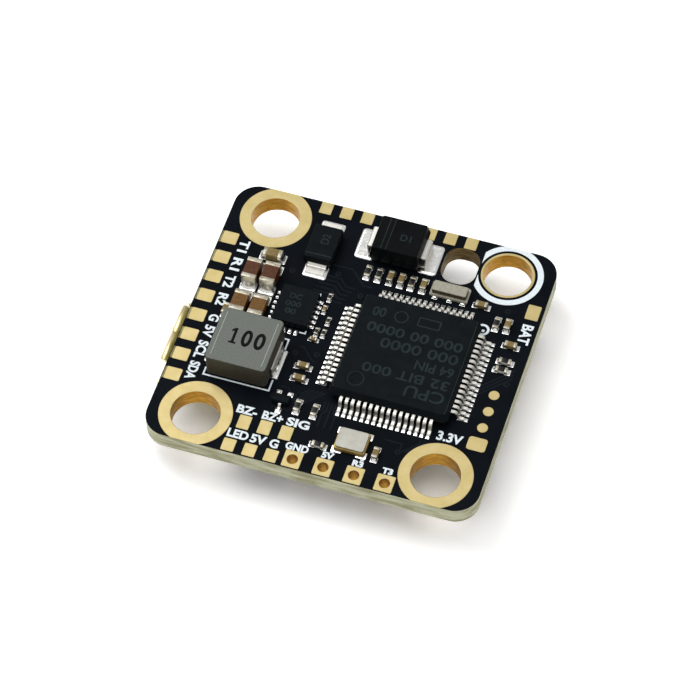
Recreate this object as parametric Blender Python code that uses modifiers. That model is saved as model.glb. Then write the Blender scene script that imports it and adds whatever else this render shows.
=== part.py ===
"""Flight controller board of a small multirotor, with a 20 x 20 mm mounting pattern.

The board stands level on the parts of its underside. The origin is the middle of its
bounding box, at the lowest point. Sizes in the constants are millimetres, and the
helpers turn them into metres.
"""
import math

import bmesh
import bpy

MM = 0.001

# Board
BOARD_X = 27.7
BOARD_Y = 25.5
BOARD_T = 1.6
BOARD_CORNER_R = 2.0
PATTERN = 20.0
GAP = 0.03               # clearance between two pieces that touch on the real board
PLATING_T = 0.04

# Plated mounting holes
HOLE_R = 2.0
BARREL_WALL = 0.1
ANNULUS_R = 3.0
LIP_R = 2.22             # top lip of the north-east hole, which has no annulus there
ROUND_STEPS = 32

# Cut-out next to the north-east hole
SLOT_X = (4.55, 7.5)
SLOT_Y = (8.0, 11.55)
SLOT_R = 1.25
RING_CUT_X = 7.62        # the north-east plating stops short of the cut-out here

# Row of plated through pads on the south edge
THROUGH_X = (-1.24, 1.3, 3.84, 6.38)
THROUGH_Y = -11.88
THROUGH_SIZE = (1.47, 1.55)
THROUGH_HOLE_R = 0.45

# Parts of the underside
UNDER_H = 2.9            # height of the tallest parts, on which the board stands
USB_Y = -2.3
USB_LIP_OUT = 1.0        # how far the socket's lips pass the west edge
USB_NEAR_LIP = 5.5       # width of the lip beside the board

# Processor, a 64-pin quad flat pack
MCU_AT = (4.6, -0.65)
MCU_BODY = (10.0, 10.0, 1.4)
MCU_STANDOFF = 0.1
MCU_PINS = 16
MCU_PITCH = 0.5
MCU_SPAN = 12.0
PIN_T = 0.12

# Boot button
BUTTON_AT = (-11.9, 4.6)
BUTTON_SIZE = (3.0, 2.6, 0.9)
BUTTON_TRAVEL = 0.25
BUTTON_RECESS_R = 1.05
BUTTON_RECESS_FLOOR = 0.25
BUTTON_STEM_R = 0.75
BUTTON_TOP = 1.55

COLOURS = {
    "solder_mask": ((0.010, 0.013, 0.018), 0.42, 0.0),
    "gold_plating": ((0.76, 0.56, 0.24), 0.30, 1.0),
    "tinned_metal": ((0.72, 0.71, 0.68), 0.28, 1.0),
    "shell_metal": ((0.80, 0.72, 0.50), 0.25, 1.0),
    "moulding_black": ((0.012, 0.014, 0.016), 0.55, 0.0),
    "ferrite_grey": ((0.19, 0.20, 0.18), 0.60, 0.0),
    "ceramic_dark": ((0.11, 0.045, 0.022), 0.45, 0.0),
    "ceramic_tan": ((0.22, 0.10, 0.035), 0.45, 0.0),
    "ceramic_khaki": ((0.30, 0.22, 0.09), 0.45, 0.0),
    "resistor_black": ((0.015, 0.015, 0.016), 0.35, 0.0),
    "ceramic_white": ((0.62, 0.58, 0.50), 0.40, 0.0),
    "resonator_beige": ((0.38, 0.34, 0.29), 0.45, 0.0),
    "lid_metal": ((0.60, 0.57, 0.52), 0.30, 1.0),
    "plunger_white": ((0.80, 0.79, 0.75), 0.45, 0.0),
    "socket_cream": ((0.72, 0.68, 0.58), 0.50, 0.0),
    "led_clear": ((0.75, 0.80, 0.70), 0.20, 0.0),
}


def clear_scene():
    """Remove what the scene holds, so that the script can run twice."""
    for item in list(bpy.data.objects):
        bpy.data.objects.remove(item, do_unlink=True)
    for group in list(bpy.data.collections):
        bpy.data.collections.remove(group)


clear_scene()
PARTS = bpy.data.collections.new("flight_controller_board")
CUTTERS = bpy.data.collections.new("cutters")
for collection in (PARTS, CUTTERS):
    bpy.context.scene.collection.children.link(collection)


def make_face(name, height, turn):
    """An empty at the middle of the hole pattern, on one face of the board."""
    face = bpy.data.objects.new(name, None)
    face.location = (USB_LIP_OUT / 2 * MM, 0.0, height * MM)
    face.rotation_euler = (turn, 0.0, 0.0)
    PARTS.objects.link(face)
    return face


TOP = make_face("top_face", UNDER_H + BOARD_T, 0.0)
# In the underside's own frame +Z points down, away from the board, and Y is reversed.
UNDER = make_face("under_face", UNDER_H, math.pi)


def material(name):
    """The Principled material of a piece, made the first time that it is asked for."""
    found = bpy.data.materials.get(name)
    if found:
        return found
    colour, roughness, metallic = COLOURS[name]
    made = bpy.data.materials.new(name)
    made.use_nodes = True
    shader = made.node_tree.nodes["Principled BSDF"]
    shader.inputs["Base Color"].default_value = (*colour, 1.0)
    shader.inputs["Roughness"].default_value = roughness
    shader.inputs["Metallic"].default_value = metallic
    return made


def add_object(name, bm, slot, face=TOP, at=(0.0, 0.0), turn=0.0, z=0.0, smooth=False):
    """Turn a bmesh into a named piece that stands on one face of the board."""
    mesh = bpy.data.meshes.new(name)
    bm.to_mesh(mesh)
    bm.free()
    if smooth:
        mesh.shade_smooth()
        mesh.set_sharp_from_angle(angle=math.radians(35))
    piece = bpy.data.objects.new(name, mesh)
    piece.parent = face
    piece.location = (at[0] * MM, at[1] * MM, z * MM)
    piece.rotation_euler = (0.0, 0.0, math.radians(turn))
    if slot is None:
        CUTTERS.objects.link(piece)
        piece.hide_render = True
        piece.display_type = "WIRE"
    else:
        mesh.materials.append(material(slot))
        PARTS.objects.link(piece)
    return piece


def block(size, upright=0.0, soft=0.0, segments=4):
    """A box on z = 0, its upright edges rounded and then all of its edges softened."""
    bm = bmesh.new()
    bmesh.ops.create_cube(bm, size=1.0)
    for vert in bm.verts:
        vert.co.x *= size[0] * MM
        vert.co.y *= size[1] * MM
        vert.co.z = (vert.co.z + 0.5) * size[2] * MM
    if upright:
        edges = [e for e in bm.edges if abs(e.verts[0].co.z - e.verts[1].co.z) > 0.01 * MM]
        bmesh.ops.bevel(bm, geom=edges, offset=upright * MM, segments=segments,
                        profile=0.5, affect="EDGES")
    if soft:
        edges = [e for e in bm.edges if e.calc_face_angle(0.0) > math.radians(50)]
        bmesh.ops.bevel(bm, geom=edges, offset=soft * MM, segments=1,
                        profile=0.5, affect="EDGES")
    return bm


def box_between(low, high):
    """A box given by its lowest and highest corners."""
    size = [high[i] - low[i] for i in range(3)]
    bm = block(size)
    middle = ((low[0] + high[0]) / 2 * MM, (low[1] + high[1]) / 2 * MM, low[2] * MM)
    bmesh.ops.translate(bm, verts=bm.verts, vec=middle)
    return bm


def moulding(size, draft, parting=0.5, corner=0.0):
    """A moulded body on z = 0: widest at its parting line, and drafted above and below."""
    bm = block(size, upright=corner, segments=1)
    height = size[2] * MM
    bmesh.ops.bisect_plane(bm, geom=bm.verts[:] + bm.edges[:] + bm.faces[:],
                           plane_co=(0.0, 0.0, parting * height), plane_no=(0.0, 0.0, 1.0))
    for vert in bm.verts:
        inset = draft * MM * abs(vert.co.z / height - parting) / max(parting, 1 - parting)
        vert.co.x *= 1.0 - 2.0 * inset / (size[0] * MM)
        vert.co.y *= 1.0 - 2.0 * inset / (size[1] * MM)
    return bm


def cylinder(radius, height, steps=ROUND_STEPS):
    """A closed cylinder on z = 0."""
    bm = bmesh.new()
    bmesh.ops.create_cone(bm, cap_ends=True, segments=steps, radius1=radius * MM,
                          radius2=radius * MM, depth=height * MM)
    bmesh.ops.translate(bm, verts=bm.verts, vec=(0.0, 0.0, height / 2 * MM))
    return bm


def combine(target, other, operation):
    """Add a Boolean of another object, which stays in the cutters' collection."""
    step = target.modifiers.new(operation.lower(), "BOOLEAN")
    step.operation = operation
    step.solver = "EXACT"
    step.object = other


def cut(target, bm, face=TOP, at=(0.0, 0.0), turn=0.0, z=0.0):
    """Cut a bmesh shape out of a piece."""
    cutter = add_object(target.name + "_cutter", bm, None, face, at, turn, z)
    combine(target, cutter, "DIFFERENCE")


def join(target, bm, face=TOP, at=(0.0, 0.0), turn=0.0, z=0.0):
    """Fuse a bmesh shape to a piece."""
    added = add_object(target.name + "_added", bm, None, face, at, turn, z)
    combine(target, added, "UNION")


def strip(name, profile, width, thickness, slot, face=TOP, at=(0.0, 0.0), turn=0.0):
    """Sheet metal bent along a profile of (x, z) points, with its width along y."""
    bm = bmesh.new()
    verts = [bm.verts.new((x * MM, -width / 2 * MM, z * MM)) for x, z in profile]
    edges = [bm.edges.new(pair) for pair in zip(verts, verts[1:])]
    sheet = bmesh.ops.extrude_edge_only(bm, edges=edges)
    moved = [item for item in sheet["geom"] if isinstance(item, bmesh.types.BMVert)]
    bmesh.ops.translate(bm, verts=moved, vec=(0.0, width * MM, 0.0))
    piece = add_object(name, bm, slot, face, at, turn)
    solid = piece.modifiers.new("sheet", "SOLIDIFY")
    solid.thickness = thickness * MM
    solid.offset = 0.0
    solid.use_even_offset = True
    return piece


def turned(name, profile, slot, face=TOP, at=(0.0, 0.0), z=0.0, steps=ROUND_STEPS):
    """A turned piece: a closed profile of (radius, z) points, swept about its axis."""
    bm = bmesh.new()
    verts = [bm.verts.new((r * MM, 0.0, h * MM)) for r, h in profile]
    for first, second in zip(verts, verts[1:] + verts[:1]):
        bm.edges.new((first, second))
    piece = add_object(name, bm, slot, face, at, z=z)
    screw = piece.modifiers.new("turn", "SCREW")
    screw.angle = math.tau
    screw.steps = steps
    screw.render_steps = steps
    screw.use_merge_vertices = True
    screw.merge_threshold = 0.0001 * MM
    return piece


def make_board():
    """The laminate, with its mounting holes, its cut-out and the holes of the pads."""
    board = add_object("pcb_laminate", block((BOARD_X, BOARD_Y, BOARD_T),
                                             upright=BOARD_CORNER_R, segments=8),
                       "solder_mask", z=-BOARD_T)
    over = 0.5
    depth = BOARD_T + 2 * over
    for x in (-PATTERN / 2, PATTERN / 2):
        for y in (-PATTERN / 2, PATTERN / 2):
            cut(board, cylinder(HOLE_R + BARREL_WALL + GAP, depth), at=(x, y), z=-BOARD_T - over)
    for x in THROUGH_X:
        radius = THROUGH_HOLE_R + BARREL_WALL + GAP
        cut(board, cylinder(radius, depth, 16), at=(x, THROUGH_Y), z=-BOARD_T - over)
    slot_size = (SLOT_X[1] - SLOT_X[0], SLOT_Y[1] - SLOT_Y[0], depth)
    cut(board, block(slot_size, upright=SLOT_R, segments=6),
        at=(sum(SLOT_X) / 2, sum(SLOT_Y) / 2), z=-BOARD_T - over)


def make_mount_ring(name, x, y, top_r):
    """A plated hole: barrel, top annulus and bottom annulus, trimmed at the board's edge."""
    top_low = GAP
    top_high = GAP + PLATING_T
    under_high = -BOARD_T - GAP
    under_low = under_high - PLATING_T
    wall_r = HOLE_R + BARREL_WALL
    profile = [(HOLE_R, top_high), (top_r, top_high), (top_r, top_low), (wall_r, top_low),
               (wall_r, under_high), (ANNULUS_R, under_high), (ANNULUS_R, under_low),
               (HOLE_R, under_low)]
    ring = turned(name, profile, "gold_plating", at=(x, y))
    edge = BOARD_Y / 2
    if y > 0:
        trim = box_between((x - 4.0, edge, -BOARD_T - 1.0), (x + 4.0, edge + 2.0, 1.0))
    else:
        trim = box_between((x - 4.0, -edge - 2.0, -BOARD_T - 1.0), (x + 4.0, -edge, 1.0))
    cut(ring, trim)
    if top_r < ANNULUS_R:
        clear_of_slot = box_between((x - 4.0, y - 4.0, -BOARD_T - 1.0), (RING_CUT_X, y + 4.0, 1.0))
        cut(ring, clear_of_slot)


def make_through_pad(name, x):
    """A square plated pad on both faces, joined by its barrel."""
    pad_x, pad_y = THROUGH_SIZE
    plate = (pad_x, pad_y, PLATING_T)
    pad = add_object(name, block(plate), "gold_plating", at=(x, THROUGH_Y), z=GAP)
    bottom = -BOARD_T - GAP - PLATING_T
    length = BOARD_T + 2 * GAP + 2 * PLATING_T
    middle = PLATING_T / 2
    join(pad, cylinder(THROUGH_HOLE_R + BARREL_WALL, length - 2 * middle, 16),
         at=(x, THROUGH_Y), z=bottom + middle)
    join(pad, block(plate), at=(x, THROUGH_Y), z=bottom)
    cut(pad, cylinder(THROUGH_HOLE_R, length + 1.0, 16), at=(x, THROUGH_Y), z=bottom - 0.5)


def gull_wing(root, wall, toe, exit_z):
    """The side view of a gull-wing lead, from inside its body to its toe."""
    foot_z = GAP + PIN_T / 2 + 0.02
    return [(root, exit_z), (wall + 0.32, exit_z), (wall + 0.41, exit_z - 0.06),
            (wall + 0.51, foot_z + 0.10), (wall + 0.59, foot_z + 0.01), (toe, foot_z)]


def make_leads(name, count, pitch, pin_w, wall, toe, exit_z, face, at, turn):
    """One side's leads. A bar that lies in the body's groove holds them together."""
    root = wall - 0.30
    width = (count - 1) * pitch + pin_w
    leads = strip(name, gull_wing(root, wall, toe, exit_z), width, PIN_T,
                  "tinned_metal", face, at, turn)
    teeth = bmesh.new()
    for index in range(count - 1):
        middle = (index - (count - 2) / 2) * pitch
        half = (pitch - pin_w) / 2
        tooth = box_between((root + 0.18, middle - half, -0.5), (toe + 0.5, middle + half, 2.0))
        copy_into(teeth, tooth)
    cut(leads, teeth, face, at, turn)


def copy_into(target, source):
    """Add one bmesh to another, as a body of its own."""
    mesh = bpy.data.meshes.new("copy")
    source.to_mesh(mesh)
    source.free()
    target.from_mesh(mesh)
    bpy.data.meshes.remove(mesh)


def cut_lead_groove(body, count, pitch, pin_w, wall, exit_z, face, at, turn):
    """The groove at a body's waist that takes the bar of one side's leads."""
    half = ((count - 1) * pitch + pin_w) / 2 + GAP
    low = (wall - 0.30 - GAP, -half, exit_z - PIN_T / 2 - GAP)
    high = (wall + 0.5, half, exit_z + PIN_T / 2 + GAP)
    cut(body, box_between(low, high), face, at, turn)


def make_processor():
    """The quad flat pack and the leads of its four sides."""
    pin_w = 0.22
    exit_z = MCU_STANDOFF + MCU_BODY[2] / 2
    wall = MCU_BODY[0] / 2
    body = add_object("mcu_body", moulding(MCU_BODY, 0.16, corner=0.35), "moulding_black",
                      at=MCU_AT, z=MCU_STANDOFF)
    for side, turn in (("east", 0.0), ("north", 90.0), ("west", 180.0), ("south", 270.0)):
        cut_lead_groove(body, MCU_PINS, MCU_PITCH, pin_w, wall, exit_z, TOP, MCU_AT, turn)
        make_leads("mcu_leads_" + side, MCU_PINS, MCU_PITCH, pin_w, wall, MCU_SPAN / 2,
                   exit_z, TOP, MCU_AT, turn)


def make_inductor():
    """The moulded power inductor, with its two folded terminals."""
    at = (-7.9, -3.7)
    size = (5.1, 5.1, 2.3)
    base = 0.2
    add_object("inductor_core", block(size, upright=0.35, soft=0.12, segments=2),
               "ferrite_grey", at=at, z=base)
    wall = size[0] / 2
    fold = [(wall - 1.1, 0.11), (wall + 0.10, 0.11), (wall + 0.12, 0.25), (wall + 0.12, 1.25)]
    for side, turn in (("east", 0.0), ("west", 180.0)):
        strip("inductor_terminal_" + side, fold, 2.8, 0.15, "tinned_metal", at=at, turn=turn)


def make_power_diode():
    """The large input diode, with a lead folded under each end."""
    at = (0.88, 9.7)
    size = (4.3, 3.6, 2.0)
    base = 0.25
    exit_z = base + 0.5 * size[2]
    wall = size[0] / 2
    add_object("power_diode_body", moulding(size, 0.22, corner=0.2), "moulding_black",
               at=at, z=base)
    fold = [(wall + 0.12, exit_z), (wall + 0.28, exit_z - 0.04), (wall + 0.34, exit_z - 0.20),
            (wall + 0.34, 0.30), (wall + 0.26, 0.14), (wall - 0.75, 0.12)]
    for side, turn in (("east", 0.0), ("west", 180.0)):
        strip("power_diode_lead_" + side, fold, 2.0, 0.15, "tinned_metal", at=at, turn=turn)


def make_flat_diode():
    """The low diode beside the north-west hole, with flat leads."""
    at = (-5.2, 8.1)
    size = (2.5, 3.5, 0.85)
    add_object("flat_diode_body", moulding(size, 0.10, corner=0.12), "moulding_black",
               at=at, z=0.20)
    wall = size[1] / 2
    foot = [(wall - 0.55, 0.10), (wall + 0.85, 0.10)]
    for side, turn in (("north", 90.0), ("south", 270.0)):
        strip("flat_diode_lead_" + side, foot, 1.6, 0.12, "tinned_metal", at=at, turn=turn)


def make_timing_parts():
    """The crystal in its metal lid, and the three-terminal resonator."""
    at = (2.83, -9.07)
    add_object("crystal_base", block((2.6, 2.05, 0.32), upright=0.15, segments=2),
               "ceramic_white", at=at, z=GAP)
    add_object("crystal_lid", block((2.4, 1.85, 0.2), upright=0.22, soft=0.05, segments=3),
               "lid_metal", at=at, z=0.32 + 2 * GAP)
    at = (6.03, 6.9)
    cap = add_object("resonator", block((2.9, 1.0, 0.78), upright=0.1, soft=0.08, segments=2),
                     "resonator_beige", at=at, z=GAP)
    join(cap, block((3.2, 1.3, 0.3), upright=0.05, segments=1), at=at, z=GAP - 0.01)


def make_converter():
    """The step-down converter chip between the inductor and the processor."""
    add_object("buck_converter", block((3.5, 3.5, 0.72), upright=0.08, soft=0.03, segments=1),
               "moulding_black", at=(-5.7, 1.75), z=GAP)


def make_chip(name, at, size, slot, turn=0.0, face=TOP):
    """A chip capacitor, chip resistor or light, with its length along x before the turn."""
    add_object(name, block(size, upright=0.06, soft=0.04, segments=1), slot, face, at, turn, GAP)


def make_chips():
    """The chip capacitors and resistors that have nodes of their own."""
    make_chip("input_capacitor_1", (-9.95, 3.9), (2.0, 1.25, 1.22), "ceramic_dark", 90.0)
    make_chip("input_capacitor_2", (-8.4, 3.95), (2.0, 1.25, 1.22), "ceramic_dark", 90.0)
    make_chip("output_capacitor_1", (-10.0, 0.88), (2.0, 1.25, 0.82), "ceramic_tan", 90.0)
    make_chip("output_capacitor_2", (-8.42, 0.88), (2.0, 1.25, 0.82), "ceramic_tan", 90.0)
    make_chip("bootstrap_capacitor", (-8.92, 6.15), (1.6, 0.8, 0.77), "ceramic_khaki")
    small_c = (1.0, 0.5, 0.47)
    small_r = (1.0, 0.5, 0.32)
    make_chip("filter_capacitor_1", (-3.15, -3.38), small_c, "ceramic_khaki")
    make_chip("filter_capacitor_2", (-3.1, -4.6), small_c, "ceramic_khaki")
    make_chip("filter_capacitor_3", (8.83, 6.42), small_c, "ceramic_khaki")
    row_y = 6.95
    row = ((-1.0, "r"), (-0.05, "r"), (0.95, "c"), (1.88, "c"), (2.77, "r"), (3.77, "c"))
    for index, (x, kind) in enumerate(row, start=1):
        size = small_c if kind == "c" else small_r
        slot = "ceramic_khaki" if kind == "c" else "resistor_black"
        make_chip("row_chip_%d" % index, (x, row_y), size, slot, 90.0)


def make_transistor():
    """The small three-lead transistor below the inductor."""
    at = (-3.77, -7.03)
    body = add_object("buzzer_transistor", moulding((1.5, 0.8, 0.6), 0.05), "moulding_black",
                      at=at, z=0.10)
    for x, near_y, far_y in ((-0.48, 0.25, 0.78), (0.48, 0.25, 0.78), (0.0, -0.78, -0.25)):
        join(body, box_between((x - 0.11, near_y, GAP), (x + 0.11, far_y, GAP + 0.12)), at=at)


def make_usb_socket():
    """The micro USB socket under the west edge: shell, insulator and contacts."""
    mouth_x = -BOARD_X / 2 - 0.45
    rear_x = mouth_x + 5.0
    lip_x = -BOARD_X / 2 - USB_LIP_OUT
    wall = 0.25
    near = GAP + wall / 2
    far = 2.45
    # Half of the shell's section, from the narrow side by the board to the wide side.
    half = [(2.55, near), (2.85, near + 0.12), (3.55, near + 1.05), (3.72, near + 1.25),
            (3.72, far - 0.25), (3.47, far)]
    section = half + [(-y, z) for y, z in reversed(half)]
    centre_z = (near + far) / 2
    bm = bmesh.new()
    verts = [bm.verts.new((rear_x * MM, y * MM, z * MM)) for y, z in section]
    edges = [bm.edges.new((a, b)) for a, b in zip(verts, verts[1:] + verts[:1])]
    flare_y = 0.33
    flare_z = 0.30
    for x, spread_y, spread_z in ((mouth_x, 0.0, 0.0), (lip_x, flare_y, flare_z)):
        step = bmesh.ops.extrude_edge_only(bm, edges=edges)
        ring = [item for item in step["geom"] if isinstance(item, bmesh.types.BMVert)]
        edges = [item for item in step["geom"] if isinstance(item, bmesh.types.BMEdge)
                 and all(vert in ring for vert in item.verts)]
        for vert in ring:
            vert.co.x = x * MM
            vert.co.y += math.copysign(spread_y * MM, vert.co.y)
            vert.co.z += math.copysign(spread_z * MM, vert.co.z - centre_z * MM)
    bmesh.ops.recalc_face_normals(bm, faces=bm.faces)
    shell = add_object("usb_shell", bm, "shell_metal", UNDER, (0.0, -USB_Y), smooth=True)
    solid = shell.modifiers.new("sheet", "SOLIDIFY")
    solid.thickness = wall * MM
    solid.offset = 0.0
    solid.use_even_offset = True
    cut(shell, box_between((lip_x - 1.0, -6.0, -2.0), (lip_x, 6.0, 5.0)), UNDER, (0.0, -USB_Y))
    # The flared mouth is four separate lips, so its corners are notched.
    for low_y, high_y in ((-5.0, -USB_NEAR_LIP / 2), (USB_NEAR_LIP / 2, 5.0)):
        cut(shell, box_between((lip_x - 1.0, low_y, -1.0), (mouth_x, high_y, 1.1)),
            UNDER, (0.0, -USB_Y))
    for low_y, high_y in ((-5.0, -3.3), (3.3, 5.0)):
        cut(shell, box_between((lip_x - 1.0, low_y, far - 0.4), (mouth_x, high_y, 4.0)),
            UNDER, (0.0, -USB_Y))

    inner_low = near + wall / 2 + GAP
    inner_high = far - wall / 2 - GAP
    insulator = add_object(
        "usb_insulator", box_between((rear_x - 1.2, -2.45, inner_low), (rear_x, 2.45, inner_high)),
        "moulding_black", UNDER, (0.0, -USB_Y))
    tongue = box_between((mouth_x + 0.7, -1.85, 1.35), (rear_x - 0.6, 1.85, 1.95))
    join(insulator, tongue, UNDER, (0.0, -USB_Y))
    # The contacts lie on the tongue's face towards the board, and leave at the rear.
    strip_z = 1.35 - GAP - 0.05
    row_half = 1.3 + 0.15
    tails = [(mouth_x + 0.9, strip_z), (rear_x + 0.15, strip_z), (rear_x + 0.35, 0.10),
             (rear_x + 0.9, 0.10)]
    contacts = strip("usb_contacts", tails, 2 * row_half, 0.1, "gold_plating",
                     UNDER, (0.0, -USB_Y))
    pitch = 0.65
    for index in range(4):
        middle = (index - 1.5) * pitch
        gap_half = (pitch - 0.3) / 2
        for low_x, high_x in ((mouth_x, rear_x - 0.85), (rear_x - 0.3, rear_x + 2.0)):
            cutter = box_between((low_x, middle - gap_half, -0.2), (high_x, middle + gap_half, 2.0))
            cut(contacts, cutter, UNDER, (0.0, -USB_Y))
    channel = box_between((mouth_x, -row_half - GAP, inner_low - 0.5),
                          (rear_x + 1.0, row_half + GAP, 1.35))
    cut(insulator, channel, UNDER, (0.0, -USB_Y))


def make_esc_socket():
    """The eight-pin socket for the speed controller's lead, set back from the east edge."""
    front_x = BOARD_X / 2 - 1.05
    rear_x = front_x - 4.25
    half_y = 5.0
    housing = add_object(
        "esc_socket_housing", box_between((rear_x, -half_y, GAP), (front_x, half_y, UNDER_H)),
        "socket_cream", UNDER)
    cut(housing, box_between((rear_x + 0.9, -4.2, 0.55), (front_x + 0.5, 4.2, 2.35)), UNDER)
    pitch = 1.0
    pins = 8
    pin_w = 0.35
    width = (pins - 1) * pitch + pin_w
    pin_t = 0.2
    pin_z = 1.45
    slot = box_between((rear_x - 0.5, -width / 2 - GAP, pin_z - pin_t / 2 - GAP),
                       (rear_x + 1.0, width / 2 + GAP, pin_z + pin_t / 2 + GAP))
    cut(housing, slot, UNDER)
    bend = [(front_x - 1.0, pin_z), (rear_x - 0.18, pin_z), (rear_x - 0.28, pin_z - 0.1),
            (rear_x - 0.28, 0.25), (rear_x - 0.36, 0.14), (rear_x - 1.0, 0.14)]
    contacts = strip("esc_socket_contacts", bend, width, pin_t, "tinned_metal", UNDER)
    for index in range(pins - 1):
        middle = (index - (pins - 2) / 2) * pitch
        gap_half = (pitch - pin_w) / 2
        for low_x, high_x in ((rear_x - 2.0, rear_x + 0.2), (rear_x + 0.7, front_x)):
            cutter = box_between((low_x, middle - gap_half, -0.3), (high_x, middle + gap_half, 2.2))
            cut(contacts, cutter, UNDER)
    # An L-shaped tab at each end of the housing is soldered to the board.
    tab = [(0.12, 1.6), (0.12, 0.18), (0.20, 0.12), (0.75, 0.12)]
    tab_at_x = front_x - 1.6
    for side, turn, y in (("north", -90.0, -half_y), ("south", 90.0, half_y)):
        strip("esc_socket_tab_" + side, tab, 1.6, 0.15, "tinned_metal", UNDER, (tab_at_x, y), turn)


def make_boot_button():
    """The boot button: base, snap dome, plunger and cover. Only the plunger moves."""
    at = (BUTTON_AT[0], -BUTTON_AT[1])
    size_x, size_y, height = BUTTON_SIZE
    base = add_object("boot_button_base", block(BUTTON_SIZE, upright=0.2, segments=2),
                      "moulding_black", UNDER, at, z=GAP)
    floor = BUTTON_RECESS_FLOOR
    cut(base, cylinder(BUTTON_RECESS_R, 2.0, 24), UNDER, at, z=floor)
    dome_t = 0.06
    dome_r = 0.98
    crown = BUTTON_TRAVEL
    radii = [0.2 + (dome_r - 0.2) * step / 5 for step in range(6)]
    lower = [(r, floor + GAP + crown * (1.0 - (r / dome_r) ** 2)) for r in radii]
    upper = [(r, z + dome_t) for r, z in lower]
    turned("boot_button_dome", upper + lower[::-1], "tinned_metal", UNDER, at, steps=24)
    flange_low = floor + GAP + crown + dome_t + GAP
    flange_high = flange_low + 0.16
    plunger = add_object("boot_button_plunger", cylinder(0.95, flange_high - flange_low, 24),
                         "plunger_white", UNDER, at, z=flange_low, smooth=True)
    join(plunger, cylinder(BUTTON_STEM_R, BUTTON_TOP - flange_low - 0.05, 24), UNDER, at,
         z=flange_low + 0.05)
    top = height + 2 * GAP + 0.06
    side = size_x / 2 + GAP + 0.06
    fold = [(-side, 0.30), (-side, top - 0.05), (-side + 0.05, top), (side - 0.05, top),
            (side, top - 0.05), (side, 0.30)]
    cover = strip("boot_button_cover", fold, size_y - 0.5, 0.1, "lid_metal", UNDER, at)
    cut(cover, cylinder(BUTTON_STEM_R + 0.05, 2.0, 24), UNDER, at, z=0.5)


def make_under_chips():
    """The sensor, the display chip, the memory, the regulator and the status light."""
    add_object("gyro_chip", block((3.0, 3.0, 0.88), upright=0.05, soft=0.03, segments=1),
               "moulding_black", UNDER, (0.0, 0.0), z=GAP)
    add_object("flash_chip", block((6.0, 5.0, 0.75), upright=0.06, soft=0.03, segments=1),
               "moulding_black", UNDER, (-1.0, -6.6), z=GAP)
    add_object("regulator", moulding((2.9, 1.6, 1.0), 0.08), "moulding_black",
               UNDER, (5.85, 0.6), z=0.10)
    make_chip("status_led", (-5.6, -11.4), (1.6, 0.8, 0.6), "led_clear", face=UNDER)

    at = (0.0, 6.6)
    size = (9.7, 4.4, 1.0)
    pins = 14
    pitch = 0.65
    pin_w = 0.24
    exit_z = 0.10 + size[2] / 2
    wall = size[1] / 2
    body = add_object("osd_chip_body", moulding(size, 0.12), "moulding_black", UNDER, at, z=0.10)
    for side, turn in (("south", 90.0), ("north", 270.0)):
        cut_lead_groove(body, pins, pitch, pin_w, wall, exit_z, UNDER, at, turn)
        make_leads("osd_chip_leads_" + side, pins, pitch, pin_w, wall, wall + 1.0,
                   exit_z, UNDER, at, turn)


make_board()
half_pattern = PATTERN / 2
make_mount_ring("mount_ring_nw", -half_pattern, half_pattern, ANNULUS_R)
make_mount_ring("mount_ring_ne", half_pattern, half_pattern, LIP_R)
make_mount_ring("mount_ring_sw", -half_pattern, -half_pattern, ANNULUS_R)
make_mount_ring("mount_ring_se", half_pattern, -half_pattern, ANNULUS_R)
for number, pad_x in enumerate(THROUGH_X, start=1):
    make_through_pad("through_pad_%d" % number, pad_x)
make_processor()
make_inductor()
make_power_diode()
make_flat_diode()
make_timing_parts()
make_converter()
make_chips()
make_transistor()
make_usb_socket()
make_esc_socket()
make_boot_button()
make_under_chips()
bpy.context.view_layer.update()
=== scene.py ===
import math

import bmesh
import bpy
from mathutils import Matrix, Vector


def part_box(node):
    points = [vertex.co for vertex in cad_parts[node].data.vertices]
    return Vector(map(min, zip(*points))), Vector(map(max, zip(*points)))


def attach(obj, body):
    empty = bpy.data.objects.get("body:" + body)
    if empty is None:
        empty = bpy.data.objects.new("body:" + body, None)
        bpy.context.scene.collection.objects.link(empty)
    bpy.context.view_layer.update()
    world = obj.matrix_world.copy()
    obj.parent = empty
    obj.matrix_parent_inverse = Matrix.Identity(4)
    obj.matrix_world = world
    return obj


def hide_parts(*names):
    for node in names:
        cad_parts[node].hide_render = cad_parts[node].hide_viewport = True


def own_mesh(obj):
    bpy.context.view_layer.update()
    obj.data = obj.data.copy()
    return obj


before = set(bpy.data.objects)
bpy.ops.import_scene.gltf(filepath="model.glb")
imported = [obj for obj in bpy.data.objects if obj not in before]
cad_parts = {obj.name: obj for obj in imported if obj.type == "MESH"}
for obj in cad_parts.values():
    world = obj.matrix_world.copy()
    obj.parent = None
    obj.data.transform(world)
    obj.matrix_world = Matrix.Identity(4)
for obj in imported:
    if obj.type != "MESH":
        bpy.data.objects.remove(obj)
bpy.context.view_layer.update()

# Shapes below are drawn in millimetres, on one face of the board. In the frame of the
# underside +Z points away from the board and Y is reversed.
MM = 0.001
LAMINATE_LOW, LAMINATE_HIGH = [Vector(corner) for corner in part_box("pcb_laminate")]
MID_X = (LAMINATE_LOW.x + LAMINATE_HIGH.x) / 2
MID_Y = (LAMINATE_LOW.y + LAMINATE_HIGH.y) / 2
BOARD_X = (LAMINATE_HIGH.x - LAMINATE_LOW.x) / MM
BOARD_Y = (LAMINATE_HIGH.y - LAMINATE_LOW.y) / MM
BOARD_T = (LAMINATE_HIGH.z - LAMINATE_LOW.z) / MM
TOP = Matrix.Translation((MID_X, MID_Y, LAMINATE_HIGH.z)) @ Matrix.Scale(MM, 4)
UNDER = (Matrix.Translation((MID_X, MID_Y, LAMINATE_LOW.z))
         @ Matrix.Rotation(math.pi, 4, "X") @ Matrix.Scale(MM, 4))
PAD_T = 0.03
PRINT_T = 0.012
ETCH_T = 0.006
PAD_EDGE = 0.008
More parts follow.
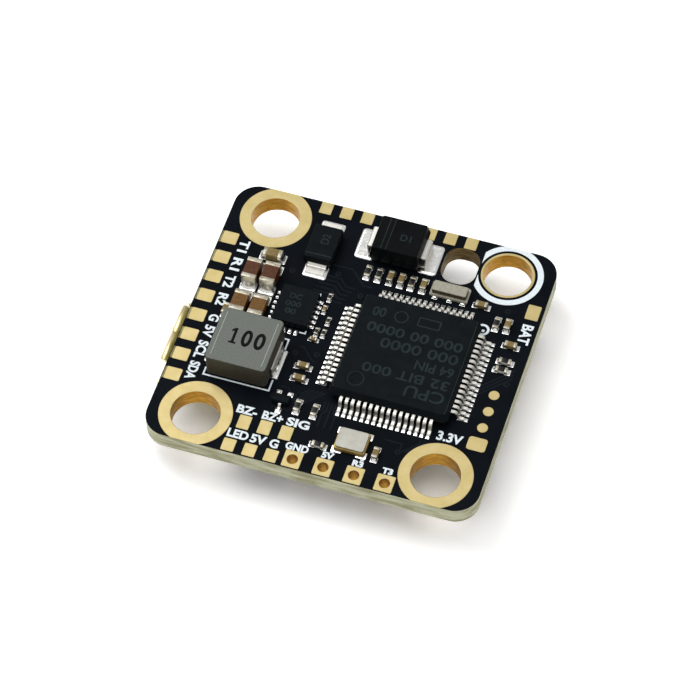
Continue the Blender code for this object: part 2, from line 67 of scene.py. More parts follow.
GAP_UNDER = 0.03
AXIS = 0.0001  # the radius at which a turned profile meets its axis
FLAT = 20  # degrees of turn above which an edge stays sharp: pads and plating
CRISP = 30  # the same for print and marks
ORIGIN = (0, 0)
CAPITAL = 0.7  # the height of a capital letter in the font, as a share of its size
BOARD_BODY = "board"
PLUNGER_BODY = "boot_plunger"


def srgb(red, green, blue):
    """A linear colour from 8-bit display values."""
    def linear(value):
        value /= 255
        return value / 12.92 if value <= 0.04045 else ((value + 0.055) / 1.055) ** 2.4
    return (linear(red), linear(green), linear(blue), 1)


# ---------------------------------------------------------------- materials

def new_material(name, colour, roughness, metallic=0, **sockets):
    """A Principled material; further sockets are given by name with _ for spaces."""
    made = bpy.data.materials.new(name)
    made.use_nodes = True
    inputs = made.node_tree.nodes["Principled BSDF"].inputs
    inputs["Base Color"].default_value = colour
    inputs["Roughness"].default_value = roughness
    inputs["Metallic"].default_value = metallic
    for socket, value in sockets.items():
        inputs[socket.replace("_", " ")].default_value = value
    return made


def noise(made, scale, detail, stretch):
    """A noise value in object space, its scale counted per millimetre."""
    nodes, links = made.node_tree.nodes, made.node_tree.links
    mapping = nodes.new("ShaderNodeMapping")
    mapping.inputs["Scale"].default_value = [value / MM for value in stretch]
    links.new(nodes.new("ShaderNodeTexCoord").outputs["Object"], mapping.inputs["Vector"])
    texture = nodes.new("ShaderNodeTexNoise")
    texture.inputs["Detail"].default_value = detail
    texture.inputs["Scale"].default_value = scale
    links.new(mapping.outputs["Vector"], texture.inputs["Vector"])
    return texture.outputs["Fac"]


def vary_colour(made, low, high, scale, span=(0.35, 0.65), detail=3, stretch=(1, 1, 1)):
    """The base colour runs from one colour to another with a noise."""
    nodes, links = made.node_tree.nodes, made.node_tree.links
    ramp = nodes.new("ShaderNodeValToRGB")
    for element, colour, place in zip(ramp.color_ramp.elements, (low, high), span):
        element.color = colour
        element.position = place
    links.new(noise(made, scale, detail, stretch), ramp.inputs["Fac"])
    links.new(ramp.outputs["Color"], nodes["Principled BSDF"].inputs["Base Color"])


def vary_roughness(made, low, high, scale, detail=2, stretch=(1, 1, 1)):
    """The roughness runs between two values with a noise."""
    nodes, links = made.node_tree.nodes, made.node_tree.links
    span = nodes.new("ShaderNodeMapRange")
    for socket, value in (("From Min", 0.3), ("From Max", 0.7), ("To Min", low), ("To Max", high)):
        span.inputs[socket].default_value = value
    links.new(noise(made, scale, detail, stretch), span.inputs["Value"])
    links.new(span.outputs["Result"], nodes["Principled BSDF"].inputs["Roughness"])


def add_bump(made, scale, height, strength=0.5, detail=2, stretch=(1, 1, 1)):
    """A bump of so many millimetres."""
    nodes, links = made.node_tree.nodes, made.node_tree.links
    bump = nodes.new("ShaderNodeBump")
    bump.inputs["Strength"].default_value = strength
    bump.inputs["Distance"].default_value = height * MM
    links.new(noise(made, scale, detail, stretch), bump.inputs["Height"])
    links.new(bump.outputs["Normal"], nodes["Principled BSDF"].inputs["Normal"])


def surface(name, base, roughness, metallic, colours, rough, bump, **sockets):
    """A material whose roughness, bump and, if it has two, colours each follow a noise."""
    made = new_material(name, base, roughness, metallic, **sockets)
    if colours:
        vary_colour(made, *colours)
    vary_roughness(made, *rough)
    add_bump(made, *bump)
    return made


def make_mask(name, colour, light):
    """Black satin solder mask, a little orange peel and a blue cast."""
    return surface(name, colour, 0.42, 0, (colour, light, 0.35), (0.36, 0.5, 0.8),
                   (5, 0.01, 0.25), Specular_IOR_Level=0.03)


def make_glass_fibre(name, pale, deep, stretch):
    """Cut laminate: resin with layers of glass cloth, seen as streaks along the edge."""
    return surface(name, pale, 0.55, 0, (deep, pale, 1, (0.38, 0.62), 5, stretch),
                   (0.45, 0.75, 2), (2, 0.03, 0.5, 4, stretch))


def make_moulding(name, colour, light, roughness, grain=26, depth=0.01):
    """Moulding compound: near black, with the fine grain of an eroded mould."""
    return surface(name, colour, roughness, 0, (colour, light, 1.1, (0.3, 0.75)),
                   (roughness - 0.07, roughness + 0.08, 12), (grain, depth, 0.55),
                   Specular_IOR_Level=0.05)


def make_ceramic(name, dark, light, roughness=0.42):
    """Fired ceramic of a chip part: mottled and slightly glossy."""
    return surface(name, light, roughness, 0, (dark, light, 4.5, (0.3, 0.7), 4),
                   (roughness - 0.08, roughness + 0.1, 9), (16, 0.008, 0.4),
                   Specular_IOR_Level=0.25)


def make_ferrite(name, dark, light):
    """Pressed iron powder: smooth matte grey with fine specks."""
    return surface(name, light, 0.58, 0, (dark, light, 7, (0.25, 0.7), 6), (0.5, 0.66, 10),
                   (22, 0.01, 0.5))


def make_sheet_metal(name, colour, tint, low, high):
    """Rolled and plated sheet, its grain drawn along X."""
    return surface(name, colour, low, 1, (colour, tint, 1.2), (low, high, 2.5, 3, (0.3, 4, 4)),
                   (4, 0.004, 0.3, 3, (0.4, 6, 6)))


def make_plastic(name, colour, light, roughness, **sockets):
    """Moulded nylon or epoxy, with flow marks and a light grain."""
    return surface(name, colour, roughness, 0, (colour, light, 0.9),
                   (roughness - 0.06, roughness + 0.08, 5), (14, 0.006, 0.4), **sockets)


def make_print(name, colour, light, gloss=0.5):
    """Screen-printed ink, slightly grainy."""
    return surface(name, colour, 0.6, 0, (colour, light, 9), (0.5, 0.75, 6), (20, 0.006, 0.5),
                   Specular_IOR_Level=gloss)


MASK = make_mask("solder_mask", srgb(8, 12, 17), srgb(13, 18, 24))
MASK_ON_COPPER = make_mask("mask_on_copper", srgb(21, 26, 31), srgb(27, 32, 38))
FIBRE = make_glass_fibre("glass_fibre_edge", srgb(178, 178, 148), srgb(134, 131, 95),
                         (0.45, 0.45, 2.6))
# The walls of the cut-out: the edge's glass fibre, darker and browner.
MILLED = make_glass_fibre("milled_cut_out", srgb(138, 114, 58), srgb(96, 74, 26), (0.8, 0.8, 3))
BARE = make_glass_fibre("bare_laminate", srgb(146, 140, 88), srgb(104, 98, 56), (3, 3, 3))
# Immersion gold: a satin pale yellow with a very fine grain.
GOLD = surface("gold_plating", srgb(193, 176, 124), 0.5, 1,
               (srgb(189, 172, 118), srgb(197, 180, 130), 0.9), (0.42, 0.52, 3), (18, 0.003, 0.3))
# The plated wall of a hole, with the drill's faint rings: a darker, more orange gold than the
# annulus, as painted shade of the deep hole and painted reflection of gold on gold.
SHADED_BARREL = surface("gold_barrel_shade", srgb(190, 142, 44), 0.38, 1,
                 (srgb(166, 116, 28), srgb(208, 160, 58), 1.4, (0.3, 0.7), 3, (1, 1, 3)),
                 (0.3, 0.46, 3), (3, 0.01, 0.4, 3, (0.4, 0.4, 5)))
# Reflowed solder: bright, with a slow swell in its surface.
SOLDER = surface("solder", srgb(246, 246, 243), 0.24, 1, None, (0.18, 0.3, 4), (3.5, 0.012, 0.35))
# Matte tin plating on formed leads.
TIN = surface("tinned_metal", srgb(222, 220, 212), 0.34, 1, None, (0.28, 0.44, 8), (20, 0.004, 0.4))
# The dipped ends of chip parts: dull warm silver, uneven.
TERMINATION = surface("termination", srgb(180, 174, 154), 0.36, 0.85,
                      (srgb(160, 152, 130), srgb(200, 196, 182), 3), (0.26, 0.5, 6),
                      (12, 0.01, 0.5))
BLACK = make_moulding("moulding_black", srgb(11, 16, 19), srgb(17, 23, 26), 0.5)
BLACK_SHINY = make_moulding("moulding_shiny", srgb(8, 10, 12), srgb(14, 17, 19), 0.34, 14, 0.008)
ETCH = make_moulding("laser_etch", srgb(34, 43, 44), srgb(42, 52, 52), 0.62)
# A lighter moulding for the rounded upper edges of the processor: a painted highlight.
EDGE_HIGHLIGHT = make_moulding("worn_edge", srgb(50, 60, 60), srgb(66, 76, 76), 0.45)
FERRITE = make_ferrite("ferrite_grey", srgb(88, 93, 87), srgb(106, 111, 103))
# The inductor's sides: a darker copy of its ferrite, as painted shade.
FERRITE_SHADED_SIDE = make_ferrite("ferrite_side_shade", srgb(40, 37, 26), srgb(58, 53, 38))
# A pale ferrite for thin ridges on the inductor's top edges: a painted highlight.
FERRITE_HIGHLIGHT = make_ferrite("ferrite_edge_highlight", srgb(140, 145, 138), srgb(160, 165, 158))
INK = make_print("black_ink", srgb(12, 14, 12), srgb(22, 24, 22), 0.05)
WHITE = make_print("white_print", srgb(220, 231, 237), srgb(238, 245, 249))
DARK_CERAMIC = make_ceramic("ceramic_dark", srgb(66, 32, 9), srgb(92, 50, 19))
TAN_CERAMIC = make_ceramic("ceramic_tan", srgb(94, 62, 17), srgb(120, 84, 31))
KHAKI_CERAMIC = make_ceramic("ceramic_khaki", srgb(112, 94, 52), srgb(138, 118, 72))
ALUMINA = make_ceramic("alumina", srgb(196, 194, 186), srgb(222, 220, 212), 0.5)
OCHRE = make_ceramic("crystal_ceramic", srgb(104, 82, 38), srgb(132, 106, 54), 0.5)
GLAZE = make_ceramic("resistor_glaze", srgb(14, 14, 15), srgb(26, 26, 28), 0.3)
RESONATOR = make_ceramic("resonator_beige", srgb(150, 146, 130), srgb(172, 168, 152), 0.46)
# The resonator cap's sides and underside: a darker brown copy of its ceramic, as painted shade.
RESONATOR_SIDE_SHADE = make_ceramic("resonator_brown", srgb(60, 52, 38), srgb(82, 73, 56), 0.5)
LID = make_sheet_metal("lid_metal", srgb(176, 175, 166), srgb(166, 164, 154), 0.36, 0.48)
LID_RIM = make_sheet_metal("lid_rim", srgb(190, 168, 104), srgb(174, 150, 88), 0.28, 0.42)
SHELL = make_sheet_metal("shell_metal", srgb(232, 220, 172), srgb(216, 200, 146), 0.24, 0.4)
NYLON = make_plastic("socket_nylon", srgb(214, 206, 184), srgb(224, 217, 197), 0.5,
                     Subsurface_Weight=0.1, Subsurface_Scale=0.0004)
NYLON_BLACK = make_plastic("nylon_black", srgb(20, 20, 21), srgb(32, 32, 33), 0.42)
PLUNGER = make_plastic("plunger_white", srgb(228, 226, 218), srgb(238, 236, 230), 0.45)
LENS = make_plastic("led_clear", srgb(226, 232, 216), srgb(236, 240, 228), 0.18, Coat_Weight=0.4)
METALS = [TIN, SOLDER]


# ---------------------------------------------------------------- mesh tools

def spot(node, side=TOP):
    """Middle (x, y), size (x, y, z) and base height of a CAD node, in millimetres."""
    corners = [side.inverted() @ Vector(corner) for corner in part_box(node)]
    low = Vector(map(min, *corners))
    high = Vector(map(max, *corners))
    middle = (low + high) / 2
    return (middle.x, middle.y), tuple(high - low), low.z


def placed(bm, at=(0, 0), turn=0):
    """The same bmesh, turned about Z and then moved to (x, y) or (x, y, z)."""
    place = Matrix.Translation((*at, 0)[:3]) @ Matrix.Rotation(math.radians(turn), 4, "Z")
    bmesh.ops.transform(bm, matrix=place, verts=bm.verts)
    return bm


def joined(parts):
    """One bmesh of shapes, each with its place and, if not 0, its turn and material number."""
    bm = bmesh.new()
    for part in parts:
        shape, at, turn, paint = (*part, 0, 0)[:4]
        placed(shape, at, turn)
        for face in shape.faces:
            face.material_index = paint
        mesh = bpy.data.meshes.new("part")
        shape.to_mesh(mesh)
        shape.free()
        bm.from_mesh(mesh)
        bpy.data.meshes.remove(mesh)
    return bm


def show(name, bm, paint, side=TOP, at=(0, 0), turn=0, base=0, node=None,
         body=BOARD_BODY, smooth=40):
    """Place a bmesh, or a list for joined(), on a face of the board and make it a piece."""
    if isinstance(bm, list):
        bm = joined(bm)
    place = (side @ Matrix.Translation((at[0], at[1], base))
             @ Matrix.Rotation(math.radians(turn), 4, "Z"))
    bmesh.ops.transform(bm, matrix=place, verts=bm.verts)
    mesh = bpy.data.meshes.new(name)
    bm.to_mesh(mesh)
    bm.free()
    mesh.shade_smooth()
    mesh.set_sharp_from_angle(angle=math.radians(smooth))
    paints = paint if isinstance(paint, list) else [paint]
    for one in paints:
        mesh.materials.append(one)
    made = bpy.data.objects.new(name, mesh)
    bpy.context.scene.collection.objects.link(made)
    # Large faces stay flat, and the narrow ones round their edges take up the turn.
    made.modifiers.new("normals", "WEIGHTED_NORMAL").keep_sharp = True
    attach(made, body)
    if node:
        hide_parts(node)
    return made


def soften(bm, width, segments=2, least=40):
    """Round every edge that turns by more than an angle."""
    edges = [e for e in bm.edges if e.is_manifold and e.calc_face_angle() > math.radians(least)]
    bmesh.ops.bevel(bm, geom=edges, offset=width, segments=segments, profile=0.5,
                    affect="EDGES", clamp_overlap=True)


def box_shape(size, upright=0, soft=0, segments=3):
    """A box on z = 0 with rounded upright edges and softened edges."""
    bm = bmesh.new()
    bmesh.ops.create_cube(bm, size=1)
    for vert in bm.verts:
        vert.co = Vector((vert.co.x * size[0], vert.co.y * size[1], (vert.co.z + 0.5) * size[2]))
    if upright:
        edges = [e for e in bm.edges if abs(e.verts[0].co.z - e.verts[1].co.z) > 1e-4]
        bmesh.ops.bevel(bm, geom=edges, offset=upright, segments=segments, profile=0.5,
                        affect="EDGES")
    if soft:
        soften(bm, soft)
    return bm


def cut_plane(bm, point, normal, **how):
    """Split a bmesh along a plane."""
    return bmesh.ops.bisect_plane(bm, geom=bm.verts[:] + bm.edges[:] + bm.faces[:],
                                  plane_co=point, plane_no=normal, **how)


def trim(bm, point, normal):
    """Cut off what lies beyond a plane and close the cut."""
    cut = cut_plane(bm, point, normal, clear_outer=True)
    edges = [item for item in cut["geom_cut"] if isinstance(item, bmesh.types.BMEdge)]
    bmesh.ops.holes_fill(bm, edges=edges)


def drafted(size, draft, parting=0.5, corner=0, soft=0, corner_segments=1):
    """A moulded body, widest at its parting line, its edges softened."""
    bm = box_shape(size, corner, 0, corner_segments)
    cut_plane(bm, (0, 0, parting * size[2]), (0, 0, 1))
    for vert in bm.verts:
        inset = abs(vert.co.z / size[2] - parting) / max(parting, 1 - parting)
        vert.co.x *= 1 - 2 * draft[0] * inset / size[0]
        vert.co.y *= 1 - 2 * draft[1] * inset / size[1]
    if soft:
        soften(bm, soft, 3, 30)
    return bm


def loft(rings, closed=False):
    """Skin rings of (x, y, z) points. The end rings are capped, or join each other."""
    bm = bmesh.new()
    rows = [[bm.verts.new(point) for point in ring] for ring in rings]
    for near, far in zip(rows, rows[1:] + rows[:1] * closed):
        for a in range(len(near)):
            b = (a + 1) % len(near)
            bm.faces.new((near[a], near[b], far[b], far[a]))
    if not closed:
        bm.faces.new(reversed(rows[0]))
        bm.faces.new(rows[-1])
    bmesh.ops.recalc_face_normals(bm, faces=bm.faces)
    return bm


def ribbon(path, width, thickness, chamfer=0.02, y=0):
    """A bent lead: a flat section with broken edges, led along (x, z) points."""
    half_w = width / 2
    half_t = thickness / 2
    section = [(half_w - chamfer, half_t), (half_w, half_t - chamfer),
               (half_w, chamfer - half_t), (half_w - chamfer, -half_t)]
    section += [(-a, b) for a, b in reversed(section)]
    rings = []
    for index, (x, z) in enumerate(path):
        before = Vector(path[max(index - 1, 0)])
        after = Vector(path[min(index + 1, len(path) - 1)])
        along = (after - before).normalized()
        rings.append([(x - along.y * b, y + a, z + along.x * b) for a, b in section])
    return loft(rings)


def bend(points, radius, steps=4):
    """Round the inner corners of a path of (x, z) points with arcs."""
    rounded = [points[0]]
    for before, corner, after in zip(points, points[1:], points[2:]):
        corner = Vector(corner)
        back = Vector(before) - corner
        on = Vector(after) - corner
        reach = min(radius, back.length * 0.45, on.length * 0.45)
        start = corner + back.normalized() * reach
        end = corner + on.normalized() * reach
        for step in range(steps + 1):
            t = step / steps
            point = start * (1 - t) ** 2 + corner * 2 * t * (1 - t) + end * t ** 2
            rounded.append((point.x, point.y))
    rounded.append(points[-1])
    return rounded


def turned(profile, steps=72):
    """A closed profile of (radius, z) points, turned about Z."""
    angles = [math.tau * step / steps for step in range(steps)]
    return loft([[(r * math.cos(angle), r * math.sin(angle), z) for r, z in profile]
                 for angle in angles], True)


def dimple(radius, depth, steps, lean=0.02):
    """The cutter of a shallow round mark on a part's top."""
    return turned([(AXIS, -depth), (radius, -depth), (radius + lean, 0.2), (AXIS, 0.2)], steps)


def patch(size, height, steps=8):
    """A closed blob on z = 0: a grid whose height is a function of u and v in -1 to 1."""
    bm = bmesh.new()
    top = []
    bottom = []
    for i in range(steps + 1):
        for row, lift in ((top, 1), (bottom, 0)):
            row.append([])
            for j in range(steps + 1):
                u = 2 * i / steps - 1
                v = 2 * j / steps - 1
                z = max(height(u, v), 0.002) * lift
                row[-1].append(bm.verts.new((u * size[0] / 2, v * size[1] / 2, z)))
    for i in range(steps):
        for j in range(steps):
            for row in (top, bottom):
                bm.faces.new((row[i][j], row[i + 1][j], row[i + 1][j + 1], row[i][j + 1]))
        for (a, b), (c, d) in (((i, 0), (i + 1, 0)), ((0, i), (0, i + 1)),
                               ((i, steps), (i + 1, steps)), ((steps, i), (steps, i + 1))):
            bm.faces.new((top[a][b], top[c][d], bottom[c][d], bottom[a][b]))
    bmesh.ops.recalc_face_normals(bm, faces=bm.faces)
    return bm


def heel(reach, width, rise, steps=8):
    """Solder that climbs an end face at x = 0 and thins out to a pad's far edge."""
    def height(u, v):
        out = (u + 1) / 2
        side = 1 - abs(v) ** 5
        return (0.035 + (rise - 0.035) * (1 - out) ** 2.2) * side * (1 - out ** 6) ** 0.5
    return placed(patch((reach, width), height, steps), (reach / 2, 0))


def dome(size, rise, steps=6):
    """A low drop of solder on a rectangular pad."""
    def height(u, v):
        return rise * ((1 - abs(u) ** 4) * (1 - abs(v) ** 4)) ** 0.5
    return patch(size, height, steps)


def rounded_outline(width, height, radius, centre=(0, 0), steps=4):
    """The corner points of a rounded rectangle, anticlockwise."""
    points = []
    for turn, (sx, sy) in enumerate(((1, 1), (-1, 1), (-1, -1), (1, -1))):
        for step in range(steps + 1):
            angle = math.radians(90 * (turn + step / steps))
            points.append((centre[0] + sx * (width / 2 - radius) + radius * math.cos(angle),
                           centre[1] + sy * (height / 2 - radius) + radius * math.sin(angle)))
    return points


def circle_outline(radius, centre=(0, 0), steps=48, start=0, end=360):
    """Points on an arc; a full circle leaves its last point out."""
    last = steps if end - start >= 360 else steps + 1
    angles = [math.radians(start + (end - start) * i / steps) for i in range(last)]
    return [(centre[0] + radius * math.cos(angle), centre[1] + radius * math.sin(angle))
            for angle in angles]


def mesh_of(curve):
    """The mesh of a curve or text, as a bmesh with its caps welded."""
    holder = bpy.data.objects.new("outline", curve)
    bpy.context.scene.collection.objects.link(holder)
    graph = bpy.context.evaluated_depsgraph_get()
    mesh = bpy.data.meshes.new_from_object(holder.evaluated_get(graph))
    bm = bmesh.new()
    bm.from_mesh(mesh)
    bmesh.ops.remove_doubles(bm, verts=bm.verts, dist=1e-5)
    bpy.data.objects.remove(holder)
    bpy.data.meshes.remove(mesh)
    bpy.data.curves.remove(curve)
    return bm


def sheet(loops, thickness, soft=0):
    """A flat piece on z = 0 cut to closed outlines; an outline inside another is a hole."""
    curve = bpy.data.curves.new("outline", "CURVE")
    curve.dimensions = "2D"
    curve.fill_mode = "BOTH"
    curve.extrude = thickness / 2 - soft
    curve.bevel_depth = soft
    curve.bevel_resolution = 1
    curve.offset = -soft
    for loop in loops:
        spline = curve.splines.new("POLY")
        spline.points.add(len(loop) - 1)
        for point, (x, y) in zip(spline.points, loop):
            point.co = (x, y, 0, 1)
        spline.use_cyclic_u = True
    bm = mesh_of(curve)
    if soft:
        bmesh.ops.dissolve_limit(bm, angle_limit=math.radians(1), verts=bm.verts, edges=bm.edges)
    return placed(bm, (0, 0, thickness / 2))


def lettering(words, length, height, thickness=ETCH_T, heavy=0.012):
    """Raised letters stretched to a length, with their middle on the origin."""
    curve = bpy.data.curves.new("words", "FONT")
    curve.body = words
    curve.size = height / CAPITAL
    curve.align_x = "CENTER"
    curve.align_y = "CENTER"
    curve.extrude = thickness / 2
    curve.offset = heavy
    curve.resolution_u = 5
    bm = placed(mesh_of(curve), (0, 0, thickness / 2))
    xs = [vert.co.x for vert in bm.verts]
    ys = [vert.co.y for vert in bm.verts]
    stretch = length / (max(xs) - min(xs))
    for vert in bm.verts:
        vert.co.x = (vert.co.x - (max(xs) + min(xs)) / 2) * stretch
        vert.co.y -= (max(ys) + min(ys)) / 2
    return bm


def plate(size, corner=0.08, thickness=PAD_T, soft=PAD_EDGE):
    """A flat pad with rounded corners and broken edges."""
    return sheet([rounded_outline(*size, corner)], thickness, soft)


def puddle(low, high, corner, rise):
    """Solder spread over a pad between two corners, its rim rolled down to the board."""
    width, depth = high[0] - low[0], high[1] - low[1]
    rings = []
    for step in range(7):
        turn = math.radians(90 * step / 6)
        inset = corner * 0.9 * (1 - math.cos(turn))
        ring = rounded_outline(width - 2 * inset, depth - 2 * inset, max(corner - inset, 0.02),
                               steps=5)
        z = 0.002 + (rise - 0.002) * math.sin(turn)
        rings.append([(x, y, z) for x, y in ring])
    rings.insert(0, [(x, y, 0) for x, y, _ in rings[0]])
    return placed(loft(rings), ((low[0] + high[0]) / 2, (low[1] + high[1]) / 2))


def drop(pad, corner, size, rise, at, shift=(0, 0), paint=0):
    """A small pad and the solder on it, as two entries for joined()."""
    return [(plate(pad, corner), at, 0, paint),
            (dome(size, rise), (at[0] + shift[0], at[1] + shift[1]), 0, paint)]


def carve(bm, cutters):
    """Cut closed shapes out of a bmesh with exact Booleans."""
    for cutter in cutters:
        holders = []
        for source in (bm, cutter):
            mesh = bpy.data.meshes.new("carved")
            source.to_mesh(mesh)
            source.free()
            holders.append(bpy.data.objects.new("carved", mesh))
            bpy.context.scene.collection.objects.link(holders[-1])
        step = holders[0].modifiers.new("cut", "BOOLEAN")
        step.operation = "DIFFERENCE"
        step.solver = "EXACT"
        step.object = holders[1]
        graph = bpy.context.evaluated_depsgraph_get()
        result = bpy.data.meshes.new_from_object(holders[0].evaluated_get(graph))
        bm = bmesh.new()
        bm.from_mesh(result)
        bpy.data.meshes.remove(result)
        for holder in holders:
            mesh = holder.data
            bpy.data.objects.remove(holder)
            bpy.data.meshes.remove(mesh)
    return bm


# ---------------------------------------------------------------- the bare board

CORNER_R = 2
PATTERN_HALF = 10
HOLE_R = 2
BARREL_R = 2.1
ANNULUS_R = 3
SLOT_X = (4.55, 7.5)
SLOT_Y = (8, 11.55)
SLOT_R = 1.25
THROUGH = ["through_pad_%d" % number for number in range(1, 5)]
THROUGH_R = 0.45


def track(points, width=0.15, height=0.02):
    """A low ridge along a list of (x, y) points, mitred where it turns."""
    legs = [Vector(b) - Vector(a) for a, b in zip(points, points[1:])]
    rings = []
    for index, (x, y) in enumerate(points):
        last = legs[max(index - 1, 0)].normalized()
        coming = legs[min(index, len(legs) - 1)].normalized()
        along = (last + coming).normalized()
        across = Vector((-along.y, along.x)) * width / 2 / along.dot(last)
        rings.append([(x + across.x * share, y + across.y * share, z)
                      for share, z in ((-1, 0.001), (-0.7, height), (0.7, height), (1, 0.001))])
    return loft(rings)


def slanted(start, end, knee=0.5):
    """A route of two straight legs and one at 45 degrees, as tracks are laid."""
    run_x = end[0] - start[0]
    run_y = end[1] - start[1]
    diagonal = min(abs(run_x), abs(run_y))
    step_x = math.copysign(diagonal, run_x)
    step_y = math.copysign(diagonal, run_y)
    if abs(run_x) > abs(run_y):
        first = (start[0] + (run_x - step_x) * knee, start[1])
    else:
        first = (start[0], start[1] + (run_y - step_y) * knee)
    route = [start, first, (first[0] + step_x, first[1] + step_y), end]
    return [point for index, point in enumerate(route)
            if index == 0 or (Vector(point) - Vector(route[index - 1])).length > 0.02]


def make_laminate():
    """The board: mask on both faces, glass fibre at the edge, a darker and browner copy of it in
    the cut-out.
    """
    slot_mid = (sum(SLOT_X) / 2, sum(SLOT_Y) / 2)
    slot_size = (SLOT_X[1] - SLOT_X[0], SLOT_Y[1] - SLOT_Y[0])
    loops = [rounded_outline(BOARD_X, BOARD_Y, CORNER_R, steps=10),
             rounded_outline(*slot_size, SLOT_R, slot_mid, 10)]
    for x in (-PATTERN_HALF, PATTERN_HALF):
        for y in (-PATTERN_HALF, PATTERN_HALF):
            loops.append(circle_outline(BARREL_R + 0.01, (x, y), 72))
    for name in THROUGH:
        loops.append(circle_outline(THROUGH_R + 0.08, spot(name)[0], 32))
    bm = sheet(loops, BOARD_T)
    for face in bm.faces:
        centre = face.calc_center_median()
        in_slot = all(abs(centre[i] - slot_mid[i]) < slot_size[i] / 2 + 0.12 for i in (0, 1))
        if abs(face.normal.z) < 0.5:
            face.material_index = 2 if in_slot else 1
    show("laminate", bm, [MASK, FIBRE, MILLED], base=-BOARD_T, node="pcb_laminate")


def make_tracks():
    """Tracks and covered vias that show through the mask of the top face."""
    routes = [slanted((-0.2, 5.6), (-4.1, 6.9), 0.3), slanted((-4, -1.5), (-2.4, -2.6)),
              slanted((-4.3, -5.6), (-2.6, -6)), [(5.2, -8), (6.6, -8), (6.6, -8.6)]]
    for i in range(5):
        routes.append(slanted((-1.5 - 0.15 * i, 5.1 - 0.42 * i), (-4.4 - 0.1 * i, 5.75 - 0.42 * i),
                              0.35))
        routes.append(slanted((-1.9 + 0.32 * i, -5.2), (-4.4 + 0.32 * i, -7.7), 0.25))
    for i in range(4):
        routes.append(slanted((-0.4 + 0.3 * i, -6), (-0.9 + 0.55 * i, -8.4), 0.4))
        routes.append([(7.9 + 0.34 * i, -7.2), (7.9 + 0.34 * i, -7.6 + 0.1 * i),
                       (6.7 + 0.34 * i, -8.8 + 0.1 * i)])
    for i in range(3):
        routes.append(slanted((11, -0.9 - 0.4 * i), (13.2, 1.2 - 0.4 * i)))
    vias = [(-3.3, 6.15), (-0.9, 6.5), (-0.9, 4.6), (-1.3, 3.1), (-4.2, -2.2), (-2.5, -1.9),
            (11, 6.6), (12.9, -0.2), (-4.6, -6.6), (6.5, -8.8), (7.4, 5.9), (-7, 5.4)]
    ring = [(0.1, 0.001), (0.1, 0.012), (0.22, 0.012), (0.25, 0.001)]
    parts = [(track(route), ORIGIN) for route in routes] + [(turned(ring, 20), at) for at in vias]
    show("covered_tracks_top", parts, MASK_ON_COPPER)


def ring_profile(top_r, under_r):
    """Half of a plated hole's section: a barrel between two annuli, with a rounded lip."""
    low = -BOARD_T - PAD_T
    lip = 0.05
    edge = 0.015
    return [(HOLE_R, PAD_T - lip), (HOLE_R + 0.3 * lip, PAD_T - 0.3 * lip), (HOLE_R + lip, PAD_T),
            (top_r - edge, PAD_T), (top_r, PAD_T - edge), (top_r, 0), (BARREL_R, 0),
            (BARREL_R, -BOARD_T), (under_r, -BOARD_T), (under_r, low + edge),
            (under_r - edge, low), (HOLE_R + lip, low), (HOLE_R, low + lip)]


def paint_barrel_shade(bm, radius):
    """Give the wall of a hole on the Z axis the second material, the darker gold of painted shade.
    """
    for face in bm.faces:
        if abs(face.normal.z) < 0.5 and face.calc_center_median().xy.length < radius + 0.05:
            face.material_index = 1


def make_mount_rings():
    """The four plated holes; the north-east one has a narrow lip instead of an annulus."""
    edge = BOARD_Y / 2 - PATTERN_HALF
    for name, sign_y, top_r in (("nw", 1, ANNULUS_R), ("ne", 1, 2.22), ("sw", -1, ANNULUS_R),
                                ("se", -1, ANNULUS_R)):
        bm = turned(ring_profile(top_r, ANNULUS_R), 96)
        trim(bm, (0, sign_y * (edge - 0.004), 0), (0, sign_y, 0))
        x = -PATTERN_HALF if name.endswith("w") else PATTERN_HALF
        if name == "ne":
            trim(bm, (7.6 - PATTERN_HALF, 0, 0), (-1, 0, 0))
        paint_barrel_shade(bm, HOLE_R)
        show("plated_hole_" + name, bm, [GOLD, SHADED_BARREL], at=(x, sign_y * PATTERN_HALF),
             node="mount_ring_" + name, smooth=FLAT)


def make_through_pads():
    """Square pads with a plated hole, on the south edge."""
    outer = THROUGH_R + 0.07
    top, low = PAD_T / 2, -BOARD_T - PAD_T / 2
    for number, node in enumerate(THROUGH, start=1):
        middle, size, _ = spot(node)
        loops = [rounded_outline(*size[:2], 0.1), circle_outline(THROUGH_R, steps=32)]
        parts = [(sheet(loops, PAD_T, PAD_EDGE), (0, 0, z)) for z in (0, -BOARD_T - PAD_T)]
        barrel = turned([(THROUGH_R, top), (outer, top), (outer, low), (THROUGH_R, low)], 32)
        bm = joined([*parts, (barrel, ORIGIN)])
        paint_barrel_shade(bm, THROUGH_R)
        show("plated_pad_%d" % number, bm, [GOLD, SHADED_BARREL], at=middle, node=node, smooth=FLAT)


def pad_group(name, places, size, corner=0.08, side=TOP):
    """A group of equal flat pads."""
    show(name, [(plate(size, corner), at) for at in places], GOLD, side, smooth=FLAT)


def discs(name, places, radius, side=TOP):
    """A group of round test points."""
    show(name, [(sheet([circle_outline(radius)], PAD_T, PAD_EDGE), at) for at in places], GOLD,
         side, smooth=FLAT)


WEST_ROWS = [7 - 2 * row for row in range(8)]
NORTH_COLUMNS = (-6.28, -4.5, -2.7, -0.9, 0.9, 2.7, 4.47, 6.25)
SOUTH_COLUMNS = (-6.5, -4.75, -2.97)
SECOND_COLUMNS = (-6, -4.27, -2.5)


